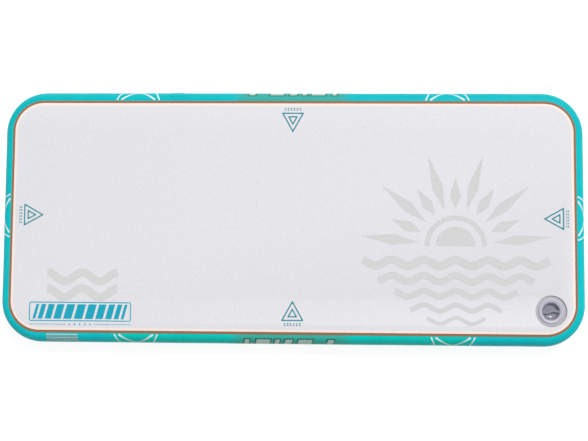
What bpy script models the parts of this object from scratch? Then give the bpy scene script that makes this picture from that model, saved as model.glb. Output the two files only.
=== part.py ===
# Swim float mat: an inflatable drop-stitch platform with a foam deck and one inflation valve.
# Metres, +Z up. The origin is at the middle of the underside. +X runs along the mat's length
# towards the valve, and +Y runs to the long side that is farther from the valve.

import math

import bmesh
import bpy
from mathutils import Matrix

# Whole mat, inflated
MAT_LENGTH = 2.134
MAT_WIDTH = 0.927
CORNER_RADIUS = 0.153
PANEL_HEIGHT = 0.1016
SIDE_BULGE = 0.0365

# Clearance left between two pieces that are glued, clamped or rest on each other
GAP = 0.0003

# One overrun serves every cut and every blend into a neighbour shape
OVERRUN = 0.001

# Drop-stitch panel: two coated sheets, and a woven core whose two faces are tied by threads
SHEET_THICKNESS = 0.0010
CORE_FACE_THICKNESS = 0.0004
CORE_EDGE_MARGIN = 0.0020
CORE_VALVE_MARGIN = 0.0020
THREAD_PITCH = 0.120
THREAD_RADIUS = 0.0008
THREAD_EDGE_MARGIN = 0.015
THREAD_VALVE_MARGIN = 0.010

# Side bands: an inner one inside the sheets, an outer one lapped over them
BAND_THICKNESS = 0.0009
OUTER_LAP = 0.025
INNER_LAP = 0.020

# Strip over the joint where the outer band's two ends meet
JOINT_STRIP_LENGTH = 0.050
JOINT_STRIP_FROM_END = 0.640

# Foam deck: an orange base that shows as a line round the grey pad
DECK_EDGE_MARGIN = 0.0020
DECK_BASE_THICKNESS = 0.0025
DECK_PAD_THICKNESS = 0.0027
PINSTRIPE_WIDTH = 0.0090
DECK_HOLE_CLEARANCE = 0.0010

# Valve place, from the mat's right end and near side to the valve's axis
VALVE_FROM_END = 0.1340
VALVE_FROM_SIDE = 0.1306

# Valve body: flange, cup round the cap, neck and barrel
NECK_BORE_RADIUS = 0.0180
NECK_WALL = 0.0055
NECK_HEIGHT = 0.0030
BARREL_WALL = 0.0025
WELL_WIDTH = 0.0083
CUP_WALL = 0.0027
CUP_FLOOR = 0.0020
CUP_LIP_DROP = 0.0018
FLANGE_WIDTH = 0.0115
FLANGE_THICKNESS = 0.0038
FLANGE_CREST_WIDTH = 0.0025
FLANGE_CHAMFER = 0.0008
LEDGE_WIDTH = 0.0020
SEAT_LENGTH = 0.0090

# Patches, gasket and nut that seal the valve in the top sheet
PATCH_MARGIN = 0.0092
PATCH_THICKNESS = 0.0009
BACKING_PATCH_WIDTH = 0.0175
GASKET_INSET = 0.0030
GASKET_WIDTH = 0.0036
GASKET_THICKNESS = 0.0012
NUT_WALL = 0.0085
NUT_HEIGHT = 0.0080
NUT_GRIP_DEPTH = 0.0022

# Cap with its grip bar, plug and two ball lugs
CAP_CLEARANCE = 0.0008
CAP_SUNK = 0.0006
CAP_RIM_WIDTH = 0.0022
CAP_CHAMFER = 0.0006
CAP_RECESS_DEPTH = 0.0120
CAP_BOWL_WIDTH = 0.0090
CAP_FLOOR = 0.0015
GRIP_BAR_WIDTH = 0.0078
GRIP_BAR_OFFSET = 0.0022
GRIP_BAR_DROP = 0.0008
PLUG_CLEARANCE = 0.0008
PLUG_WALL = 0.0027
PLUG_TIP = 0.0004
LUG_RADIUS = 0.0012
GROOVE_CLEARANCE = 0.00035
CAP_LEAD = 0.036
O_RING_WIRE = 0.0024

# Tether that keeps the cap on the neck
TETHER_THICKNESS = 0.0012

# Stem, its guide, spring and diaphragm
GUIDE_BELOW_PLUG = 0.0108
GUIDE_HUB_RADIUS = 0.0075
GUIDE_RIM_WIDTH = 0.0026
GUIDE_SPOKE_WIDTH = 0.0026
STEM_RADIUS = 0.0028
BUTTON_RADIUS = 0.0075
BUTTON_HEIGHT = 0.0052
BUTTON_BELOW_NECK = 0.0014
BUTTON_CHAMFER = 0.0008
BUTTON_TRAVEL = 0.0060
WING_REACH = 0.0014
WING_WIDTH = 0.0016
WING_HEIGHT = 0.0015
LOCK_CLEARANCE = 0.00075
WASHER_THICKNESS = 0.0008
WASHER_REACH = 0.0036
SPRING_WIRE = 0.0009
SPRING_CLEARANCE = 0.0009
COLLAR_REACH = 0.0032
COLLAR_HEIGHT = 0.0012
SEAT_OVERLAP = 0.0030
DIAPHRAGM_THICKNESS = 0.0016
CLIP_REACH = 0.0034
CLIP_THICKNESS = 0.0012
STEM_TIP = 0.0010

# Shares and counts
GRIP_BAR_SWING_SHARE = 0.13
GRIP_BAR_SHIFT_SHARE = 0.14
TETHER_RING_SHARE = 0.36
TETHER_STRAP_SHARE = 0.34
TETHER_PART_SHARE = 0.06
STRAP_LEAVE_SHARE = 0.20
STRAP_CLIMB_SHARE = 0.25
QUARTER_TURN_SHARE = 0.25
SPRING_TURNS = 5
NUT_RIBS = 10
STEPS_PER_RIB = 4
GUIDE_SPOKES = 3
STRAP_SWEEP = math.radians(200)
GROOVE_RUN_IN = math.radians(9)
GROOVE_RUN_OUT = math.radians(24)

# Facets
CORNER_STEPS = 8
BULGE_STEPS = 8
TURN_STEPS = 40
SMALL_TURN_STEPS = 18
O_RING_STEPS = 6
SPRING_STEPS = 8
GROOVE_STEPS = 12
GROOVE_SIDES = 10
STRAP_STEPS = 16
BAR_STEPS = 14
BOWL_STEPS = 4
LUG_SEGMENTS = 10
LUG_RINGS = 6
MERGE_DISTANCE = 0.000005

# Levels of the panel and the deck, from the underside up
PANEL_BOTTOM_Z = BAND_THICKNESS + GAP
PANEL_TOP_Z = PANEL_BOTTOM_Z + PANEL_HEIGHT
BAND_TOP_Z = PANEL_TOP_Z + GAP + BAND_THICKNESS
MIDDLE_Z = BAND_TOP_Z / 2
DECK_BASE_Z = PANEL_TOP_Z + GAP
DECK_PAD_Z = DECK_BASE_Z + DECK_BASE_THICKNESS + GAP

# The seam line is where the flat sheets end and the side bulge begins
SEAM_HALF_LENGTH = MAT_LENGTH / 2 - SIDE_BULGE
SEAM_HALF_WIDTH = MAT_WIDTH / 2 - SIDE_BULGE
SEAM_RADIUS = CORNER_RADIUS - SIDE_BULGE

# Valve place and radii, from the neck's bore outwards
VALVE_X = MAT_LENGTH / 2 - VALVE_FROM_END
VALVE_Y = VALVE_FROM_SIDE - MAT_WIDTH / 2
NECK_RADIUS = NECK_BORE_RADIUS + NECK_WALL
BARREL_RADIUS = NECK_BORE_RADIUS + BARREL_WALL
LOWER_BORE_RADIUS = NECK_BORE_RADIUS - LEDGE_WIDTH
CUP_INNER_RADIUS = NECK_RADIUS + WELL_WIDTH
CUP_RADIUS = CUP_INNER_RADIUS + CUP_WALL
VALVE_HOLE_RADIUS = CUP_RADIUS + GAP
FLANGE_RADIUS = CUP_RADIUS + FLANGE_WIDTH
PATCH_RADIUS = FLANGE_RADIUS + PATCH_MARGIN
DECK_HOLE_RADIUS = PATCH_RADIUS + DECK_HOLE_CLEARANCE
CAP_RADIUS = CUP_INNER_RADIUS - CAP_CLEARANCE
RECESS_RADIUS = CAP_RADIUS - CAP_RIM_WIDTH
PLUG_RADIUS = NECK_BORE_RADIUS - PLUG_CLEARANCE

# Valve levels, from the sheet up to the cap and down again to the diaphragm
PATCH_TOP_Z = PANEL_TOP_Z + GAP + PATCH_THICKNESS
FLANGE_Z = PATCH_TOP_Z + GAP
FLANGE_TOP_Z = FLANGE_Z + FLANGE_THICKNESS
CUP_LIP_Z = FLANGE_TOP_Z - CUP_LIP_DROP
CAP_TOP_Z = CUP_LIP_Z - CAP_SUNK
CAP_FLOOR_Z = CAP_TOP_Z - CAP_RECESS_DEPTH
CAP_UNDERSIDE_Z = CAP_FLOOR_Z - CAP_FLOOR
NECK_TOP_Z = CAP_UNDERSIDE_Z - O_RING_WIRE - 2 * GAP
WELL_FLOOR_Z = NECK_TOP_Z - NECK_HEIGHT
CUP_BOTTOM_Z = WELL_FLOOR_Z - CUP_FLOOR
LUG_Z = NECK_TOP_Z + GAP + LUG_RADIUS - CAP_LEAD * QUARTER_TURN_SHARE
PLUG_BOTTOM_Z = LUG_Z - LUG_RADIUS - PLUG_TIP
GUIDE_TOP_Z = PLUG_BOTTOM_Z - GUIDE_BELOW_PLUG
GUIDE_THICKNESS = BUTTON_TRAVEL - WING_HEIGHT - 2 * LOCK_CLEARANCE
GUIDE_Z = GUIDE_TOP_Z - GUIDE_THICKNESS
LEDGE_Z = GUIDE_Z - GAP
BARREL_BOTTOM_Z = LEDGE_Z - SEAT_LENGTH
BUTTON_TOP_Z = NECK_TOP_Z - BUTTON_BELOW_NECK
BUTTON_Z = BUTTON_TOP_Z - BUTTON_HEIGHT
WASHER_Z = BUTTON_Z - GAP - WASHER_THICKNESS
WING_Z = GUIDE_TOP_Z + LOCK_CLEARANCE
DIAPHRAGM_Z = BARREL_BOTTOM_Z - GAP - DIAPHRAGM_THICKNESS
CLIP_Z = DIAPHRAGM_Z - GAP - CLIP_THICKNESS
STEM_BOTTOM_Z = CLIP_Z - STEM_TIP


def clear_scene():
    for item in list(bpy.data.objects):
        bpy.data.objects.remove(item)


def new_collection(name):
    collection = bpy.data.collections.new(name)
    bpy.context.scene.collection.children.link(collection)
    return collection


def new_material(name, colour, roughness, metallic=0):
    material = bpy.data.materials.new(name)
    material.use_nodes = True
    shader = material.node_tree.nodes["Principled BSDF"]
    shader.inputs["Base Color"].default_value = (*colour, 1)
    shader.inputs["Roughness"].default_value = roughness
    shader.inputs["Metallic"].default_value = metallic
    material.diffuse_color = (*colour, 1)
    return material


def new_object(name, data, collection, material=None, parent=None):
    item = bpy.data.objects.new(name, data)
    collection.objects.link(item)
    item.parent = parent
    if material:
        data.materials.append(material)
    return item


def hide_tool(item):
    item.hide_render = True
    item.display_type = "WIRE"


def shade(item):
    item.data.shade_smooth()
    item.data.set_sharp_from_angle(angle=math.radians(35))


def arc(centre_x, centre_y, radius, start, sweep, steps):
    points = []
    for step in range(steps + 1):
        angle = start + sweep * step / steps
        points.append((centre_x + radius * math.cos(angle), centre_y + radius * math.sin(angle)))
    return points


def eased(share):
    # Runs smoothly from 0 to 1, and stays at its ends outside that range
    inside = min(1, max(0, share))
    return inside * inside * (3 - 2 * inside)


def rounded_rectangle(half_length, half_width, radius):
    corners = ((1, -1), (1, 1), (-1, 1), (-1, -1))
    points = []
    for turn, (side_x, side_y) in enumerate(corners):
        centre_x = side_x * (half_length - radius)
        centre_y = side_y * (half_width - radius)
        start = math.radians(90) * (turn - 1)
        points += arc(centre_x, centre_y, radius, start, math.radians(90), CORNER_STEPS)
    return points


def seam_outline(offset):
    return rounded_rectangle(SEAM_HALF_LENGTH + offset, SEAM_HALF_WIDTH + offset, SEAM_RADIUS + offset)


def circle(radius, centre_x=0, centre_y=0, steps=TURN_STEPS):
    return arc(centre_x, centre_y, radius, 0, math.radians(360), steps)[:-1]


def poly_curve(name, point_lists, cyclic, dimensions="3D"):
    curve = bpy.data.curves.new(name, "CURVE")
    curve.dimensions = dimensions
    for points in point_lists:
        spline = curve.splines.new("POLY")
        spline.points.add(len(points) - 1)
        for control, point in zip(spline.points, points):
            place = (*point, 0) if len(point) == 2 else point
            control.co = (*place, 1)
        spline.use_cyclic_u = cyclic
    return curve


def solid_from_curve(curve_item, name, collection, material=None, parent=None):
    bpy.context.view_layer.update()
    evaluated = curve_item.evaluated_get(bpy.context.evaluated_depsgraph_get())
    mesh = bpy.data.meshes.new_from_object(evaluated)
    mesh.name = name
    work = bmesh.new()
    work.from_mesh(mesh)
    bmesh.ops.remove_doubles(work, verts=work.verts, dist=MERGE_DISTANCE)
    bmesh.ops.recalc_face_normals(work, faces=work.faces)
    work.to_mesh(mesh)
    work.free()
    place = curve_item.matrix_world.copy()
    bpy.data.objects.remove(curve_item)
    solid = new_object(name, mesh, collection, material, parent)
    solid.matrix_local = place
    shade(solid)
    return solid


def flat_plate(name, outlines, bottom, thickness, collection, material=None, parent=None):
    curve = poly_curve(name, outlines, True, "2D")
    curve.fill_mode = "BOTH"
    curve.extrude = thickness / 2
    item = new_object(name + "_outline", curve, collection)
    item.location.z = bottom + thickness / 2
    return solid_from_curve(item, name, collection, material, parent)


def sweep(name, path, path_closed, profile, collection, material=None, parent=None):
    guide = new_object(name + "_profile", poly_curve(name + "_profile", [profile], True), collection)
    curve = poly_curve(name, [path], path_closed)
    curve.twist_mode = "Z_UP"
    curve.bevel_mode = "OBJECT"
    curve.bevel_object = guide
    curve.use_fill_caps = not path_closed
    item = new_object(name + "_path", curve, collection)
    solid = solid_from_curve(item, name, collection, material, parent)
    bpy.data.objects.remove(guide)
    return solid


def turned(name, profile, collection, material=None, parent=None, steps=TURN_STEPS, closed=True):
    mesh = bpy.data.meshes.new(name)
    corners = [(radius, 0, height) for radius, height in profile]
    edges = [(index, index + 1) for index in range(len(corners) - 1)]
    if closed:
        edges.append((len(corners) - 1, 0))
    mesh.from_pydata(corners, edges, [])
    item = new_object(name, mesh, collection, material, parent)
    screw = item.modifiers.new("Turn", "SCREW")
    screw.axis = "Z"
    screw.angle = math.radians(360)
    screw.steps = steps
    screw.render_steps = steps
    screw.use_merge_vertices = True
    screw.merge_threshold = MERGE_DISTANCE
    screw.use_smooth_shade = True
    return item


def ring(name, inner, outer, bottom, height, collection, material=None, parent=None, steps=TURN_STEPS):
    top = bottom + height
    profile = [(inner, top), (outer, top), (outer, bottom), (inner, bottom)]
    return turned(name, profile, collection, material, parent, steps)


def combine(target, tool, operation):
    boolean = target.modifiers.new(tool.name, "BOOLEAN")
    boolean.operation = operation
    boolean.solver = "EXACT"
    boolean.object = tool
    hide_tool(tool)


# Panel

def make_sheets(parts, material):
    outline = seam_outline(0)
    flat_plate("bottom_sheet", [outline], PANEL_BOTTOM_Z, SHEET_THICKNESS, parts, material)
    hole = circle(VALVE_HOLE_RADIUS, VALVE_X, VALVE_Y)
    top_z = PANEL_TOP_Z - SHEET_THICKNESS
    flat_plate("top_sheet", [outline, hole], top_z, SHEET_THICKNESS, parts, material)


def thread_places(reach_x, reach_y, keep_off):
    columns = int((reach_x - THREAD_EDGE_MARGIN) / THREAD_PITCH)
    rows = int((reach_y - THREAD_EDGE_MARGIN) / THREAD_PITCH)
    for column in range(-columns, columns + 1):
        for row in range(-rows, rows + 1):
            x = column * THREAD_PITCH
            y = row * THREAD_PITCH
            if math.hypot(x - VALVE_X, y - VALVE_Y) > keep_off + THREAD_VALVE_MARGIN:
                yield x, y


def make_drop_stitch_core(parts, tools, material):
    # Two woven faces, with one prism for each tuft of threads that ties them together
    inset = INNER_LAP + CORE_EDGE_MARGIN
    hole_radius = VALVE_HOLE_RADIUS + BACKING_PATCH_WIDTH + CORE_VALVE_MARGIN
    outline = seam_outline(-inset)
    low = PANEL_BOTTOM_Z + SHEET_THICKNESS + GAP
    high = PANEL_TOP_Z - SHEET_THICKNESS - GAP
    face = CORE_FACE_THICKNESS
    core = flat_plate("drop_stitch_core", [outline], low, face, parts, material)
    hole = circle(hole_radius, VALVE_X, VALVE_Y)
    upper = flat_plate("core_upper_face", [outline, hole], high - face, face, tools)

    mesh = bpy.data.meshes.new("core_threads")
    work = bmesh.new()
    middle = (low + high) / 2
    for x, y in thread_places(SEAM_HALF_LENGTH - inset, SEAM_HALF_WIDTH - inset, hole_radius):
        bmesh.ops.create_cone(
            work, cap_ends=True, segments=3, radius1=THREAD_RADIUS, radius2=THREAD_RADIUS,
            depth=high - low - face, matrix=Matrix.Translation((x, y, middle)),
        )
    work.to_mesh(mesh)
    work.free()
    threads = new_object("core_threads", mesh, tools)
    combine(core, threads, "UNION")
    combine(core, upper, "UNION")


# Side bands

def bulge_points(bulge, half_height, first, last):
    points = []
    for step in range(first, last + 1):
        angle = math.radians(90) - math.radians(180) * step / BULGE_STEPS
        points.append((bulge * math.cos(angle), half_height * math.sin(angle)))
    return points


def band_profile(bulge, half_height, lap):
    outer = bulge_points(bulge, half_height, 0, BULGE_STEPS)
    inner = bulge_points(bulge - BAND_THICKNESS, half_height - BAND_THICKNESS, 0, BULGE_STEPS)
    outer = [(-lap, half_height)] + outer + [(-lap, -half_height)]
    inner = [(-lap, half_height - BAND_THICKNESS)] + inner + [(-lap, BAND_THICKNESS - half_height)]
    return outer + inner[::-1]


def seam_path():
    return [(x, y, MIDDLE_Z) for x, y in seam_outline(0)]


def make_side_bands(parts, outer_material, inner_material):
    profile = band_profile(SIDE_BULGE, MIDDLE_Z, OUTER_LAP)
    sweep("outer_side_band", seam_path(), True, profile, parts, outer_material)
    inner_bulge = SIDE_BULGE - BAND_THICKNESS - GAP
    inner_half_height = PANEL_HEIGHT / 2 - SHEET_THICKNESS - GAP
    profile = band_profile(inner_bulge, inner_half_height, INNER_LAP)
    sweep("inner_side_band", seam_path(), True, profile, parts, inner_material)


def make_joint_strip(parts, material):
    # The strip follows the band's outside and stops one facet short of its top and bottom edges
    first = 1
    last = BULGE_STEPS - 1
    inner = bulge_points(SIDE_BULGE + GAP, MIDDLE_Z + GAP, first, last)
    lift = GAP + BAND_THICKNESS
    outer = bulge_points(SIDE_BULGE + lift, MIDDLE_Z + lift, first, last)
    centre_x = JOINT_STRIP_FROM_END - MAT_LENGTH / 2
    start = (centre_x + JOINT_STRIP_LENGTH / 2, SEAM_HALF_WIDTH, MIDDLE_Z)
    end = (centre_x - JOINT_STRIP_LENGTH / 2, SEAM_HALF_WIDTH, MIDDLE_Z)
    sweep("side_band_joint_strip", [start, end], False, outer + inner[::-1], parts, material)


# Foam deck

def make_deck(parts, tools, base_material, pad_material):
    hole = circle(DECK_HOLE_RADIUS, VALVE_X, VALVE_Y)
    edge = seam_outline(-DECK_EDGE_MARGIN)
    base = flat_plate("deck_pad_base", [edge, hole], DECK_BASE_Z, DECK_BASE_THICKNESS, parts, base_material)

    # The base is thinner round its edge, where it lies over the side band's lap
    rebate_outlines = [seam_outline(OVERRUN), seam_outline(-OUTER_LAP - OVERRUN)]
    rebate_z = DECK_BASE_Z - OVERRUN
    rebate_height = BAND_TOP_Z + GAP - rebate_z
    rebate = flat_plate("deck_base_rebate", rebate_outlines, rebate_z, rebate_height, tools)
    combine(base, rebate, "DIFFERENCE")

    pad_edge = seam_outline(-DECK_EDGE_MARGIN - PINSTRIPE_WIDTH)
    flat_plate("deck_pad", [pad_edge, hole], DECK_PAD_Z, DECK_PAD_THICKNESS, parts, pad_material)


# Valve seat in the top sheet

def make_valve_patches(parts, axis, outside_material, inside_material):
    ring(
        "valve_patch", VALVE_HOLE_RADIUS, PATCH_RADIUS, PANEL_TOP_Z + GAP, PATCH_THICKNESS,
        parts, outside_material, axis,
    )
    backing_z = PANEL_TOP_Z - SHEET_THICKNESS - GAP - PATCH_THICKNESS
    backing_radius = VALVE_HOLE_RADIUS + BACKING_PATCH_WIDTH
    ring(
        "valve_backing_patch", VALVE_HOLE_RADIUS, backing_radius, backing_z, PATCH_THICKNESS,
        parts, inside_material, axis,
    )


def make_valve_nut(parts, axis, material):
    # Ribs round the nut give a hand or a spanner its hold
    inner = VALVE_HOLE_RADIUS
    outer = inner + NUT_WALL
    outline = []
    count = NUT_RIBS * STEPS_PER_RIB
    for step in range(count):
        angle = math.radians(360) * step / count
        on_rib = step % STEPS_PER_RIB < STEPS_PER_RIB / 2
        radius = outer if on_rib else outer - NUT_GRIP_DEPTH
        outline.append((radius * math.cos(angle), radius * math.sin(angle)))
    top = PANEL_TOP_Z - SHEET_THICKNESS - PATCH_THICKNESS - 3 * GAP
    flat_plate("valve_nut", [outline, circle(inner)], top - NUT_HEIGHT, NUT_HEIGHT, parts, material, axis)


def make_valve_gasket(parts, axis, material):
    inner = CUP_RADIUS + GASKET_INSET
    ring("valve_gasket", inner, inner + GASKET_WIDTH, FLANGE_Z, GASKET_THICKNESS, parts, material, axis)


# Valve body

def groove_path(start_turn):
    # A ball lug rises along this helix as the cap turns
    points = []
    sweep_angle = math.radians(90) + GROOVE_RUN_IN + GROOVE_RUN_OUT
    for step in range(GROOVE_STEPS + 1):
        turn = sweep_angle * step / GROOVE_STEPS - GROOVE_RUN_IN
        height = LUG_Z + CAP_LEAD * turn / math.radians(360)
        angle = start_turn + turn
        x = NECK_BORE_RADIUS * math.cos(angle)
        y = NECK_BORE_RADIUS * math.sin(angle)
        points.append((x, y, height))
    return points


def make_valve_body(parts, tools, axis, material):
    groove_inner = CUP_RADIUS + GASKET_INSET - GAP
    groove_outer = groove_inner + GASKET_WIDTH + 2 * GAP
    groove_top = FLANGE_Z + GASKET_THICKNESS + GAP
    profile = [
        (CUP_INNER_RADIUS, CUP_LIP_Z),
        (CUP_RADIUS, CUP_LIP_Z),
        (FLANGE_RADIUS - FLANGE_CHAMFER - FLANGE_CREST_WIDTH, FLANGE_TOP_Z),
        (FLANGE_RADIUS - FLANGE_CHAMFER, FLANGE_TOP_Z),
        (FLANGE_RADIUS, FLANGE_TOP_Z - FLANGE_CHAMFER),
        (FLANGE_RADIUS, FLANGE_Z),
        (groove_outer, FLANGE_Z),
        (groove_outer, groove_top),
        (groove_inner, groove_top),
        (groove_inner, FLANGE_Z),
        (CUP_RADIUS, FLANGE_Z),
        (CUP_RADIUS, CUP_BOTTOM_Z),
        (BARREL_RADIUS, CUP_BOTTOM_Z),
        (BARREL_RADIUS, BARREL_BOTTOM_Z),
        (LOWER_BORE_RADIUS, BARREL_BOTTOM_Z),
        (LOWER_BORE_RADIUS, LEDGE_Z),
        (NECK_BORE_RADIUS, LEDGE_Z),
        (NECK_BORE_RADIUS, NECK_TOP_Z),
        (NECK_RADIUS, NECK_TOP_Z),
        (NECK_RADIUS, WELL_FLOOR_Z),
        (CUP_INNER_RADIUS, WELL_FLOOR_Z),
    ]
    body = turned("valve_body", profile, parts, material, axis)
    groove_radius = LUG_RADIUS + GROOVE_CLEARANCE
    for side in range(2):
        start_turn = math.radians(180) * side
        name = f"lug_groove_{side}"
        section = circle(groove_radius, steps=GROOVE_SIDES)
        groove = sweep(name, groove_path(start_turn), False, section, tools, None, axis)
        combine(body, groove, "DIFFERENCE")


# Cap

def grip_bar_outline():
    # The bar's middle line is one full wave across the recess, so it reads as an S from above.
    # Its ends stop in the rim, where the bowl has thickened the wall.
    reach = RECESS_RADIUS + CAP_RIM_WIDTH / 4
    swing = RECESS_RADIUS * GRIP_BAR_SWING_SHARE
    shift = RECESS_RADIUS * GRIP_BAR_SHIFT_SHARE
    upper = []
    lower = []
    for step in range(BAR_STEPS + 1):
        along = 2 * reach * step / BAR_STEPS - reach
        phase = math.radians(180) * (along + shift) / RECESS_RADIUS
        middle = swing * math.sin(phase) - GRIP_BAR_OFFSET
        slope = swing * math.radians(180) / RECESS_RADIUS * math.cos(phase)
        half = GRIP_BAR_WIDTH / 2 * math.hypot(1, slope)
        upper.append((along, middle + half))
        lower.append((along, middle - half))
    return lower + upper[::-1]


def bowl_curve():
    # A quarter of an ellipse, from the flat floor up to the rim
    points = []
    for step in range(BOWL_STEPS + 1):
        angle = math.radians(90) * step / BOWL_STEPS
        radius = RECESS_RADIUS - CAP_BOWL_WIDTH + CAP_BOWL_WIDTH * math.sin(angle)
        points.append((radius, CAP_TOP_Z - CAP_RECESS_DEPTH * math.cos(angle)))
    return points


def make_valve_cap(parts, tools, axis, material):
    profile = [
        (CAP_RADIUS - CAP_CHAMFER, CAP_TOP_Z),
        (CAP_RADIUS, CAP_TOP_Z - CAP_CHAMFER),
        (CAP_RADIUS, CAP_UNDERSIDE_Z),
        (PLUG_RADIUS, CAP_UNDERSIDE_Z),
        (PLUG_RADIUS, PLUG_BOTTOM_Z),
        (PLUG_RADIUS - PLUG_WALL, PLUG_BOTTOM_Z),
        (PLUG_RADIUS - PLUG_WALL, CAP_UNDERSIDE_Z),
        (0, CAP_UNDERSIDE_Z),
        (0, CAP_FLOOR_Z),
        *bowl_curve(),
    ]
    cap = turned("valve_cap", profile, parts, material, axis)

    bar_z = CAP_FLOOR_Z - CAP_FLOOR / 2
    bar_height = CAP_TOP_Z - GRIP_BAR_DROP - bar_z
    bar = flat_plate("grip_bar", [grip_bar_outline()], bar_z, bar_height, tools, None, axis)
    combine(cap, bar, "UNION")

    for side in (1, -1):
        mesh = bpy.data.meshes.new("ball_lug")
        work = bmesh.new()
        place = Matrix.Translation((side * NECK_BORE_RADIUS, 0, LUG_Z))
        bmesh.ops.create_uvsphere(
            work, u_segments=LUG_SEGMENTS, v_segments=LUG_RINGS, radius=LUG_RADIUS, matrix=place
        )
        work.to_mesh(mesh)
        work.free()
        lug = new_object(f"ball_lug_{side + 1}", mesh, tools, None, axis)
        combine(cap, lug, "UNION")


def make_cap_o_ring(parts, axis, material):
    wire = O_RING_WIRE / 2
    centre_radius = PLUG_RADIUS + GAP + wire
    centre_z = CAP_UNDERSIDE_Z - GAP - wire
    profile = circle(wire, centre_radius, centre_z, O_RING_STEPS)[::-1]
    turned("cap_o_ring", profile, parts, material, axis)


def make_cap_tether(parts, tools, axis, material):
    ring_inner = NECK_RADIUS + GAP
    ring_outer = ring_inner + WELL_WIDTH * TETHER_RING_SHARE
    ring_z = WELL_FLOOR_Z + GAP
    tether = ring("cap_tether", ring_inner, ring_outer, ring_z, TETHER_THICKNESS, parts, material, axis)

    # The strap leaves the ring, runs round beside it and climbs to the underside of the cap
    strap_half = WELL_WIDTH * TETHER_STRAP_SHARE / 2
    ring_middle = (ring_inner + ring_outer) / 2
    strap_middle = ring_outer + WELL_WIDTH * TETHER_PART_SHARE + strap_half
    low_z = ring_z + TETHER_THICKNESS / 2
    high_z = CAP_UNDERSIDE_Z - GAP - TETHER_THICKNESS / 2
    path = []
    for step in range(STRAP_STEPS + 1):
        share = step / STRAP_STEPS
        leave = eased(share / STRAP_LEAVE_SHARE)
        climb = eased((share - STRAP_CLIMB_SHARE) / (1 - STRAP_CLIMB_SHARE))
        radius = ring_middle + (strap_middle - ring_middle) * leave
        angle = STRAP_SWEEP * share
        height = low_z + (high_z - low_z) * climb
        path.append((radius * math.cos(angle), radius * math.sin(angle), height))
    half_thickness = TETHER_THICKNESS / 2
    profile = [
        (-strap_half, half_thickness),
        (strap_half, half_thickness),
        (strap_half, -half_thickness),
        (-strap_half, -half_thickness),
    ]
    strap = sweep("tether_strap", path, False, profile, tools, None, axis)
    combine(tether, strap, "UNION")


# Stem assembly

def make_stem_guide(parts, axis, material):
    # Three windows let the air through between the hub and the rim
    rim = NECK_BORE_RADIUS - GAP
    window_outer = min(rim - GUIDE_RIM_WIDTH, LOWER_BORE_RADIUS)
    window_inner = GUIDE_HUB_RADIUS
    outlines = [circle(rim)]
    for spoke in range(GUIDE_SPOKES):
        start = math.radians(360) * spoke / GUIDE_SPOKES
        sweep_angle = math.radians(360) / GUIDE_SPOKES
        outer_edge = GUIDE_SPOKE_WIDTH / 2 / window_outer
        inner_edge = GUIDE_SPOKE_WIDTH / 2 / window_inner
        steps = SMALL_TURN_STEPS // GUIDE_SPOKES
        window = arc(0, 0, window_outer, start + outer_edge, sweep_angle - 2 * outer_edge, steps)
        inner = arc(0, 0, window_inner, start + inner_edge, sweep_angle - 2 * inner_edge, steps)
        outlines.append(window + inner[::-1])
    outlines.append(wing_keyhole())
    flat_plate("stem_guide", outlines, GUIDE_Z, GUIDE_THICKNESS, parts, material, axis)


def wing_keyhole():
    # The hub's hole passes the stem, and two slots in it pass the stem's wings
    hole = STEM_RADIUS + GAP
    slot_half = WING_WIDTH / 2 + GAP
    slot_reach = STEM_RADIUS + WING_REACH + GAP
    edge = math.asin(slot_half / hole)
    outline = []
    for side in range(2):
        turn = math.radians(180) * side
        flip = 1 - 2 * side
        outline.append((flip * slot_reach, -flip * slot_half))
        outline.append((flip * slot_reach, flip * slot_half))
        outline += arc(0, 0, hole, turn + edge, math.radians(180) - 2 * edge, SMALL_TURN_STEPS // 2)
    return outline


def make_valve_stem(parts, tools, axis, material):
    profile = [
        (0, BUTTON_TOP_Z),
        (BUTTON_RADIUS - BUTTON_CHAMFER, BUTTON_TOP_Z),
        (BUTTON_RADIUS, BUTTON_TOP_Z - BUTTON_CHAMFER),
        (BUTTON_RADIUS, BUTTON_Z),
        (STEM_RADIUS, BUTTON_Z),
        (STEM_RADIUS, BARREL_BOTTOM_Z + COLLAR_HEIGHT),
        (STEM_RADIUS + COLLAR_REACH, BARREL_BOTTOM_Z + COLLAR_HEIGHT),
        (STEM_RADIUS + COLLAR_REACH, BARREL_BOTTOM_Z),
        (STEM_RADIUS, BARREL_BOTTOM_Z),
        (STEM_RADIUS, STEM_BOTTOM_Z),
        (0, STEM_BOTTOM_Z),
    ]
    stem = turned("valve_stem", profile, parts, material, axis, SMALL_TURN_STEPS, closed=False)
    reach = STEM_RADIUS + WING_REACH
    half = WING_WIDTH / 2
    outline = [(-reach, -half), (reach, -half), (reach, half), (-reach, half)]
    wings = flat_plate("stem_wings", [outline], WING_Z, WING_HEIGHT, tools, None, axis)
    combine(stem, wings, "UNION")


def make_valve_spring(parts, axis, material):
    wire = SPRING_WIRE / 2
    radius = STEM_RADIUS + WING_REACH + SPRING_CLEARANCE + wire
    low = GUIDE_TOP_Z + GAP + wire
    high = WASHER_Z - GAP - wire
    points = []
    count = SPRING_TURNS * SPRING_STEPS
    for step in range(count + 1):
        angle = math.radians(360) * step / SPRING_STEPS
        height = low + (high - low) * step / count
        points.append((radius * math.cos(angle), radius * math.sin(angle), height))
    curve = poly_curve("valve_spring", [points], False)
    curve.bevel_depth = wire
    curve.bevel_resolution = 1
    curve.use_fill_caps = True
    item = new_object("valve_spring_path", curve, parts)
    solid_from_curve(item, "valve_spring", parts, material, axis)


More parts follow.
